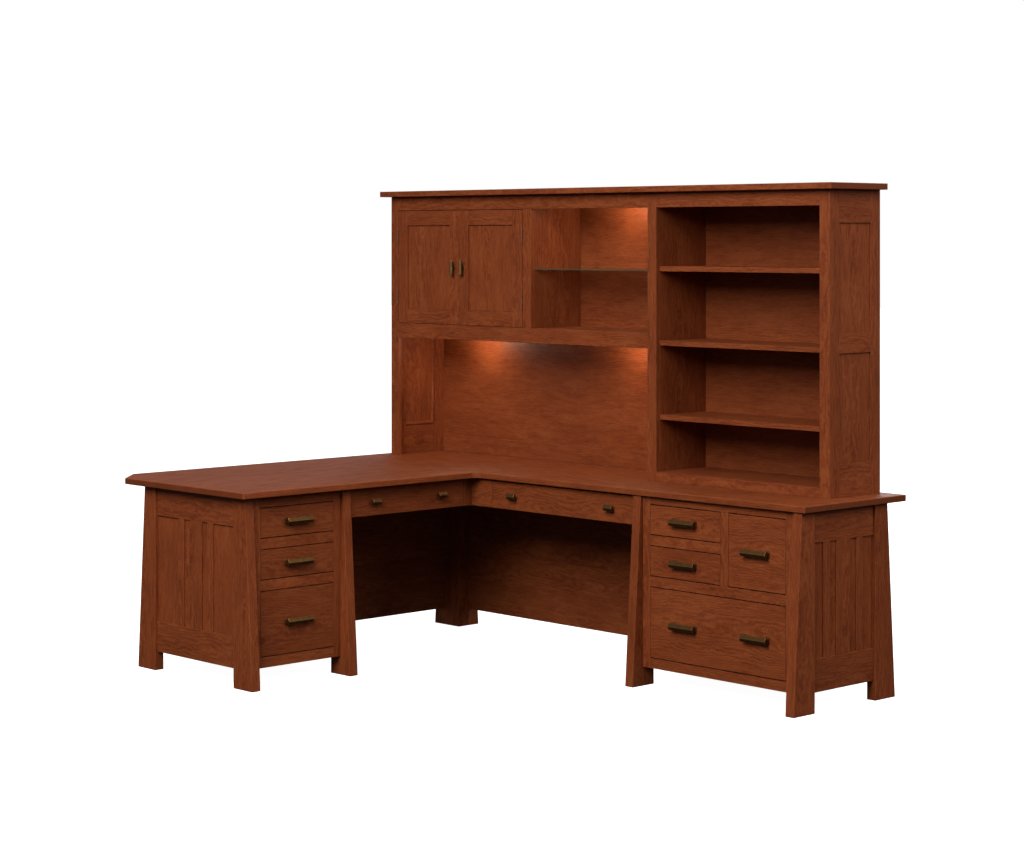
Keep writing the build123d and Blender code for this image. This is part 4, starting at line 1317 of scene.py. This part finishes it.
@dataclass
class Pulls:
    """Cast pulls: a bar with a sloping front face on one or two posts.

    Attributes:
        node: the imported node.
        facing: the directions of the front that they stand on.
        posts: how many posts each bar has.
        rounding: the easing of the bar's edges.
        post_rounding: the easing of the posts' edges.
        foot: the height of the foot under a post.
        waist: a post's narrowest size across and up, beside its foot's.
        waist_at: how far along the post the waist lies.
        neck: a post's size where it meets the bar, beside its foot's.
        sunk: how far a post runs into its bar.
    """

    node: str
    facing: Facing
    posts: int
    rounding: float = 0.0011
    post_rounding: float = 0.000385
    foot: float = 0.0012
    waist: Span = (0.70, 0.62)
    waist_at: float = 0.35
    neck: float = 0.8
    sunk: float = 0.0004

    def section(self, back: float, front: float, height: float) -> Outline:
        """The bar's section: a flat back, and a front that slopes up and down from a low ridge.

        Args:
            back: how far out its back is.
            front: how far out its ridge is.
            height: its height.

        Returns:
            The section's corners, as out and up.
        """
        deep = front - back
        return [
            (back, height / 2), (back + 0.50 * deep, height / 2), (front, 0.03 * height),
            (front, -0.05 * height), (back + 0.48 * deep, -height / 2), (back, -height / 2),
        ]

    def build(self, finishes: Finishes) -> None:
        """Builds every bar of the node with its posts and their feet.

        Args:
            finishes: the desk's finishes.
        """
        piece = Piece(f"{self.node}_cast", (self.node,), Slot.BRASS)
        solids = solids_of(self.node)
        for first in range(0, len(solids), self.posts + 1):
            bar, *posts = solids[first:first + self.posts + 1]
            self.bar(piece, bar)
            for post in posts:
                self.post(piece, post, bar)
        piece.make(finishes)

    def frame_of(self, solid: Solid) -> tuple[Place, Vector, float, float]:
        """A solid's place, its size along the facing, and where it starts and ends going out.

        Args:
            solid: the solid.

        Returns:
            The place, the size, the start and the end.
        """
        near, far = self.facing.reach(solid.low(), solid.high())
        centre = solid.centre()
        origin = centre - self.facing.out * centre.dot(self.facing.out)
        size = solid.size()
        place = self.facing.place(origin)
        along = Vector(abs(size.dot(way)) for way in (place.across, place.out, place.up))
        return place, along, near, far

    def bar(self, piece: Piece, solid: Solid) -> None:
        """Adds one bar.

        Args:
            piece: the piece that it is added to.
            solid: the solid that it fills.
        """
        place, size, near, far = self.frame_of(solid)
        shape = prism(self.section(near, far, size.z), -size.x / 2, size.x / 2, place)
        Easing(self.rounding, 3).apply(shape)
        piece.take(shape)

    def post(self, piece: Piece, solid: Solid, bar: Solid) -> None:
        """Adds one waisted post and the foot under it.

        Args:
            piece: the piece that it is added to.
            solid: the solid that it fills.
            bar: the bar that it carries.
        """
        place, size, near, far = self.frame_of(solid)
        full = (size.x, min(size.z, bar.size().z))
        waist = (full[0] * self.waist[0], full[1] * self.waist[1])
        neck = (full[0] * self.neck, full[1] * self.neck)
        foot = near + self.foot
        middle = foot + (far - near) * self.waist_at
        for near_size, far_size, start, end in (
            (full, full, near, foot), (full, waist, foot, middle),
            (waist, neck, middle, far + self.sunk),
        ):
            shape = frustum(near_size, far_size, start, end, place)
            Easing(self.post_rounding).apply(shape)
            piece.take(shape)


@dataclass
class Drawer:
    """One drawer: front, box and pulls.

    Attributes:
        name: the drawer's name, which starts the names of its nodes.
        facing: the directions of its front.
        grain: which way the front's grain runs.
        handle: the ending of its pulls' node.
        posts: how many posts each pull has.
        tone_and_painted_shade: how light the front's wood is; a value below 1 is painted shade.
        painted_gap_shade: how dark the front's top and bottom are painted beside that, as painted
            shade in the gaps round it.
        front_edge: the easing of the front's edges.
        box_edge: the easing of the box's edges.
    """

    name: str
    facing: Facing
    grain: Grain
    handle: str = "pull"
    posts: int = 2
    # Both below are painted shade: a darker whole front, and darker top and bottom faces for the
    # gaps round it.
    tone_and_painted_shade: float = 1.0
    painted_gap_shade: float = 0.35
    front_edge: float = 0.0009
    box_edge: float = 0.0012

    def build(self, finishes: Finishes) -> None:
        """Builds the drawer.

        Args:
            finishes: the desk's finishes.
        """
        front = board_piece(
            f"{self.name}_front", grain=self.grain, easing=Easing(self.front_edge, 3),
            tone_and_painted_shade=self.tone_and_painted_shade, rim=self.painted_gap_shade,
        )
        front.make(finishes)
        box = board_piece(f"{self.name}_box", Slot.DRAWER_WOOD, easing=Easing(self.box_edge))
        box.make(finishes)
        Pulls(f"{self.name}_{self.handle}", self.facing, self.posts).build(finishes)


@dataclass
class Drawers:
    """All nine drawers."""

    credenza: tuple[str, ...] = ("upper", "middle", "tall", "file")
    wing: tuple[str, ...] = ("upper", "middle", "file")
    # The wing's fronts are painted darker: painted shade for the weaker light on their faces in the
    # corner under the wing top.
    wing_tone: float = 0.93
    # The pencil drawers' fronts are painted darker: painted shade under the overhang of the tops.
    pencil_tone: float = 0.90

    def build(self, finishes: Finishes) -> None:
        """Builds the pedestal drawers and the two pencil drawers.

        Args:
            finishes: the desk's finishes.
        """
        for name in self.credenza:
            Drawer(f"credenza_{name}", CREDENZA_FACING, Grain.X).build(finishes)
        for name in self.wing:
            Drawer(f"wing_{name}", WING_FACING, Grain.Y, tone_and_painted_shade=self.wing_tone).build(finishes)
        for name, facing, grain in (
            ("credenza", CREDENZA_FACING, Grain.X), ("wing", WING_FACING, Grain.Y),
        ):
            pencil = Drawer(f"{name}_pencil", facing, grain, "knobs", 1, self.pencil_tone)
            pencil.build(finishes)


@dataclass
class Hutch:
    """The hutch's case: sides, partitions, face frame, crown, back, floor and shelves."""

    edge: float = 0.0010
    crown_edge: float = 0.0025
    shelf_edge: float = 0.0013
    rail_edge: float = 0.0016
    panel_edge: float = 0.0004
    bottom_rail: float = 0.075
    panel_setback: float = 0.0022
    bead_width: float = 0.018
    bead_height: float = 0.0058

    def build(self, finishes: Finishes) -> None:
        """Builds every board of the case.

        Args:
            finishes: the desk's finishes.
        """
        easing = Easing(self.edge)
        sides = board_piece("hutch_sides", easing=easing)
        self.side_bead(sides)
        sides.make(finishes)
        for node in ("hutch_partitions", "hutch_face_frame"):
            board_piece(node, easing=easing).make(finishes)
        for node, eased in (
            ("hutch_crown", Easing(self.crown_edge, 3)),
            ("cabinet_floor", easing),
            ("hutch_shelves", Easing(self.shelf_edge, 3)),
        ):
            board_piece(node, grain=Grain.X, easing=eased).make(finishes)
        self.back(finishes)

    def side_bead(self, piece: Piece) -> None:
        """Adds the bead round the sunk panel inside the left end of the work bay.

        Args:
            piece: the piece that it is added to.
        """
        solids = solids_of("hutch_sides")
        thinnest = min(solid.size().x for solid in solids)
        panels = [solid for solid in solids if solid.size().x < thinnest + TOUCH]
        panel = min(panels, key=lambda solid: (round(solid.low().x, 4), solid.low().z))
        low, high = panel.low(), panel.high()
        half = self.bead_width / 2
        turns = [math.pi * step / 8 for step in range(9)]
        for axis, across, up, start, end, middles in (
            (2, AXIS_Z, AXIS_Y, low.z, high.z, (low.y + half, high.y - half)),
            (1, AXIS_Y, AXIS_Z, low.y, high.y, (low.z + half, high.z - half)),
        ):
            place = Place(Vector((high.x, 0, 0)), across, AXIS_X, up)
            for middle in middles:
                outline = [
                    (self.bead_height * math.sin(t), middle - half * math.cos(t)) for t in turns
                ]
                piece.take(prism(outline, start, end, place), axis)

    def back(self, finishes: Finishes) -> None:
        """Builds the back: a rail along the bottom of the work bay and the panels above it.

        Args:
            finishes: the desk's finishes.
        """
        piece = Piece("hutch_back_boards", ("hutch_back",), Slot.CHERRY)
        place = Place(Vector(), AXIS_X, AXIS_Y, AXIS_Z)
        rail_easing, panel_easing = Easing(self.rail_edge, 3), Easing(self.panel_edge, 1)
        work_bay, books = solids_of("hutch_back")
        for index, (solid, rail) in enumerate(((work_bay, self.bottom_rail), (books, 0.0))):
            low, high = solid.low(), solid.high()
            top = low.z + rail
            if rail:
                strip = [(low.y, low.z), (high.y, low.z), (high.y, top), (low.y, top)]
                shape = prism(strip, low.x, high.x, place)
                Board(solid, f"back_rail{index}", Grain.X, rail_easing).into(piece, shape)
            front = low.y + (self.panel_setback if rail else 0.0)
            panel = [(front, top), (high.y, top), (high.y, high.z), (front, high.z)]
            shape = prism(panel, low.x, high.x, place)
            Board(solid, f"back_panel{index}", Grain.X, panel_easing).into(piece, shape)
        piece.make(finishes)


@dataclass
class GlassShelf:
    """The glass shelf in the open bay and the pins under every loose shelf.

    Attributes:
        edge: the easing of the glass's edges.
        flat: faces that look up or down by more than this are clear, the others are its edge.
        pin_rounding: how far the rounding of a pin's end reaches.
    """

    edge: float = 0.0008
    flat: float = 0.9
    pin_rounding: float = 0.0012

    def build(self, finishes: Finishes) -> None:
        """Builds the glass and the pins.

        Args:
            finishes: the desk's finishes.
        """
        glass = Piece("glass_shelf_pane", ("glass_shelf",), Slot.GLASS)
        solid = solids_of("glass_shelf")[0]
        shape = bmesh_of(solid.points, solid.faces)
        Easing(self.edge).apply(shape)
        edge_layer = shape.faces.layers.int["eased"]
        shape.normal_update()
        for face in shape.faces:
            face[edge_layer] = int(abs(face.normal.z) < self.flat)
        glass.take(shape)
        glass.make(finishes)
        pins = Piece("shelf_pin_set", ("shelf_pins",), Slot.STEEL)
        for solid in solids_of("shelf_pins"):
            half, radius = solid.size().x / 2, solid.size().z / 2
            nose, slope = self.pin_rounding, 0.3 * self.pin_rounding
            end = [
                (radius, half - nose), (radius - slope, half - slope),
                (radius - nose, half), (0.0, half),
            ]
            profile = [(out, -along) for out, along in reversed(end)] + end
            place = Place(solid.centre(), AXIS_Y, AXIS_Z, AXIS_X)
            pins.take(lathe(profile, place, 20))
        pins.make(finishes)


@dataclass
class PuckLights:
    """Three round lights: a lacquered housing with a rolled rim, a lens with rings, and its lamp.

    Attributes:
        rim: how far the rolling of the housing's rim reaches.
        shoulder: the slope round the housing's top.
        lip: how wide the housing's sloping inner lip is.
        play: the space round the lens.
        lip_depth: how deep the lip goes.
        lens_rings: the levels of the lens below the rim: its edge, its rings and its middle.
        ring_depth: how much lower every other ring lies.
        rings: how many rings the lens has.
        steps: how many facets the housing and the lens have all round.
        watts: a lamp's power.
        warm: a lamp's colour.
        lamp_drop: how far a lamp is below its lens.
        lamp_radius: a lamp's radius.
    """

    rim: float = 0.0015
    shoulder: float = 0.001
    lip: float = 0.0012
    play: float = 0.0004
    lip_depth: float = 0.0008
    lens_rings: Triple = (0.0012, 0.0007, 0.0006)
    ring_depth: float = 0.0004
    rings: int = 6
    steps: int = 56
    watts: float = 2.3
    warm: Colour = (1.0, 0.86, 0.68)
    lamp_drop: float = 0.028
    lamp_radius: float = 0.025

    def cup(self, outer: float, inner: float, height: float, depth: float) -> Outline:
        """The housing's profile, from its top down to its rim and up to the lens.

        Args:
            outer: the housing's radius.
            inner: the lens's radius.
            height: from the housing's top to the rim.
            depth: how deep the lens lies in the housing.

        Returns:
            The profile.
        """
        roll, hole = 0.4 * self.rim, inner + self.play
        return [
            (0.0, 0.0), (outer - self.shoulder, 0.0), (outer, self.shoulder),
            (outer, height - self.rim), (outer - roll, height - roll), (outer - self.rim, height),
            (inner + self.lip, height), (hole, height - self.lip_depth),
            (hole, height - depth), (0.0, height - depth),
        ]

    def disc(self, inner: float, height: float, depth: float) -> Outline:
        """The lens's profile, from its back to the middle of its face.

        Args:
            inner: the lens's radius.
            height: from the housing's top to the rim.
            depth: how deep the lens lies in the housing.

        Returns:
            The profile.
        """
        edge, crest, middle = (height - level for level in self.lens_rings)
        profile = [(0.0, height - depth), (inner, height - depth), (inner, edge)]
        for ring in range(self.rings):
            radius = inner * (1 - (ring + 0.5) / (self.rings + 0.5))
            profile.append((radius, crest - (self.ring_depth if ring % 2 else 0.0)))
        return [*profile, (0.0, middle)]

    def build(self, finishes: Finishes) -> None:
        """Builds the housings, the lenses and the lamps under them.

        Args:
            finishes: the desk's finishes.
        """
        housings = Piece("light_housing_cups", ("light_housings",), Slot.BRONZE)
        lenses = Piece("light_lens_discs", ("light_lenses",), Slot.LENS)
        pairs = zip(solids_of("light_housings"), solids_of("light_lenses"), strict=True)
        for index, (cup, lens) in enumerate(pairs):
            top, bottom = cup.high().z, lens.low().z
            outer, inner = cup.size().x / 2, lens.size().x / 2
            height, depth = top - bottom, lens.size().z
            centre = cup.centre()
            place = Place(Vector((centre.x, centre.y, top)), AXIS_X, AXIS_Y, -AXIS_Z)
            housings.take(lathe(self.cup(outer, inner, height, depth), place, self.steps))
            lenses.take(lathe(self.disc(inner, height, depth), place, self.steps))
            self.lamp(index, Vector((centre.x, centre.y, bottom - self.lamp_drop)))
        housings.make(finishes)
        lenses.make(finishes)

    def lamp(self, index: int, at: Vector) -> None:
        """Adds one lamp just under a lens.

        Args:
            index: the light's number.
            at: where the lamp is.
        """
        data = bpy.data.lights.new(f"puck_lamp_{index}", "POINT")
        data.energy = self.watts
        data.color = self.warm
        data.shadow_soft_size = self.lamp_radius
        add_object(f"puck_lamp_{index}", data).location = at


@dataclass
class Doors:
    """The pair of framed doors with their pulls, and the hinges' leaves and pins."""

    edge: float = 0.0005
    # The doors' top and bottom faces are painted darker: painted shade for the gaps round the
    # doors.
    painted_gap_shade: float = 0.45

    def build(self, finishes: Finishes) -> None:
        """Builds both doors and dresses the hinges.

        Args:
            finishes: the desk's finishes.
        """
        for side in ("left", "right"):
            door = board_piece(f"{side}_door", easing=Easing(self.edge, 1), rim=self.painted_gap_shade)
            door.make(finishes)
            Pulls(f"{side}_door_pull", DOOR_FACING, 1).build(finishes)
            self.dress(f"{side}_door_leaves", finishes)
        self.dress("frame_hinge_leaves", finishes)
        self.dress("hinge_pins", finishes)

    def dress(self, node: str, finishes: Finishes) -> None:
        """Gives a hinge node its plated steel.

        Args:
            node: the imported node.
            finishes: the desk's finishes.
        """
        hinge = frame["nodes"][node]
        hinge.data.materials.clear()
        hinge.data.materials.append(finishes[Slot.STEEL])
        LOG.info("dressed %s", node)


# ---- studio ----


@dataclass(frozen=True)
class Softbox:
    """One large square light that faces the desk.

    Attributes:
        name: the light's name.
        at: where it stands.
        watts: its power.
        size: the length of its sides.
        aim: the point that it faces.
    """

    name: str
    at: Triple
    watts: float
    size: float = 4.0
    aim: Triple = (0.0, 0.0, 0.8)

    def build(self) -> None:
        """Adds the light."""
        data = bpy.data.lights.new(self.name, "AREA")
        data.size = self.size
        data.energy = self.watts
        light = add_object(self.name, data)
        light.location = self.at
        facing = Vector(self.aim) - Vector(self.at)
        light.rotation_euler = facing.to_track_quat("-Z", "Y").to_euler()


@dataclass
class Studio:
    """The floor, the sky, the soft lights and the camera.

    Attributes:
        floor_reach: how far the floor reaches to each side.
        sky: the light from overhead.
        ground: the light from the horizon and below it.
        rise: the heights between which the one changes to the other, from -1 to 1.
        softboxes: the lights from in front, from the right and from behind.
        camera_at: where the camera stands.
        camera_turn: how far it is turned from facing along Y.
        lens: its focal length, in millimetres.
        shift: how far its picture is shifted up, in widths of the picture.
    """

    floor_reach: float = 40.0
    sky: float = 0.42
    ground: float = 0.055
    rise: Span = (-0.1, 0.7)
    softboxes: tuple[Softbox, ...] = (
        Softbox("key", (2.0, -5.2, 4.8), 530.0),
        Softbox("fill", (5.2, 1.4, 4.2), 165.0),
        Softbox("back", (-4.0, 6.5, 4.0), 130.0),
    )
    camera_at: Triple = (6.8455, -6.3444, 1.7337)
    camera_turn: float = 0.815
    lens: float = 83.43
    shift: float = -0.1843

    def build(self) -> None:
        """Builds the studio."""
        self.floor()
        self.surroundings()
        for softbox in self.softboxes:
            softbox.build()
        self.camera()

    def floor(self) -> None:
        """Adds the pale floor."""
        reach = self.floor_reach
        mesh = bpy.data.meshes.new("studio_floor")
        corners = [(-reach, -reach, 0), (reach, -reach, 0), (reach, reach, 0), (-reach, reach, 0)]
        mesh.from_pydata(corners, [], [(0, 1, 2, 3)])
        mesh.materials.append(PaleFloor().material())
        floor = add_object("studio_floor", mesh)
        floor.visible_diffuse = False
        floor.visible_glossy = False

    def surroundings(self) -> None:
        """Sets an even pale light from above the horizon, seen as plain white."""
        world = bpy.data.worlds.new("studio")
        bpy.context.scene.world = world
        world.use_nodes = True
        tree = world.node_tree
        tree.nodes.clear()
        seen, lit, direction, split, rise, path, mixed, output = (
            tree.nodes.new(f"ShaderNode{kind}")
            for kind in (
                "Background", "Background", "TexCoord", "SeparateXYZ",
                "MapRange", "LightPath", "MixShader", "OutputWorld",
            )
        )
        seen.inputs["Strength"].default_value = 1.0
        for background in (seen, lit):
            background.inputs["Color"].default_value = (*WHITE, 1.0)
        limits = (*self.rise, self.ground, self.sky)
        for name, value in zip(MAP_LIMITS, limits, strict=True):
            rise.inputs[name].default_value = value
        for start, end in (
            (direction.outputs["Generated"], split.inputs[0]),
            (split.outputs["Z"], rise.inputs["Value"]),
            (rise.outputs["Result"], lit.inputs["Strength"]),
            (path.outputs["Is Camera Ray"], mixed.inputs[0]),
            (lit.outputs[0], mixed.inputs[1]),
            (seen.outputs[0], mixed.inputs[2]),
            (mixed.outputs[0], output.inputs["Surface"]),
        ):
            tree.links.new(start, end)
        bpy.context.scene.view_settings.view_transform = "Standard"

    def camera(self) -> None:
        """Adds the level camera, shifted down to frame the desk."""
        data = bpy.data.cameras.new("camera")
        data.sensor_width = 36.0
        data.lens = self.lens
        data.shift_y = self.shift
        data.clip_end = 200.0
        camera = add_object("camera", data)
        camera.location = self.camera_at
        camera.rotation_euler = (math.pi / 2, 0.0, self.camera_turn)
        bpy.context.scene.camera = camera


def main() -> None:
    """Builds the desk and its studio."""
    logging.basicConfig(level=logging.INFO, format="%(name)s: %(message)s")
    finishes = Finishes()
    for assembly in (
        Tops(), Legs(), Pedestals(), CornerBolts(), Drawers(),
        Hutch(), GlassShelf(), PuckLights(), Doors(),
    ):
        LOG.info("building %s", type(assembly).__name__)
        assembly.build(finishes)
    Studio().build()
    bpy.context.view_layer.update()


if __name__ == "__main__":
    main()
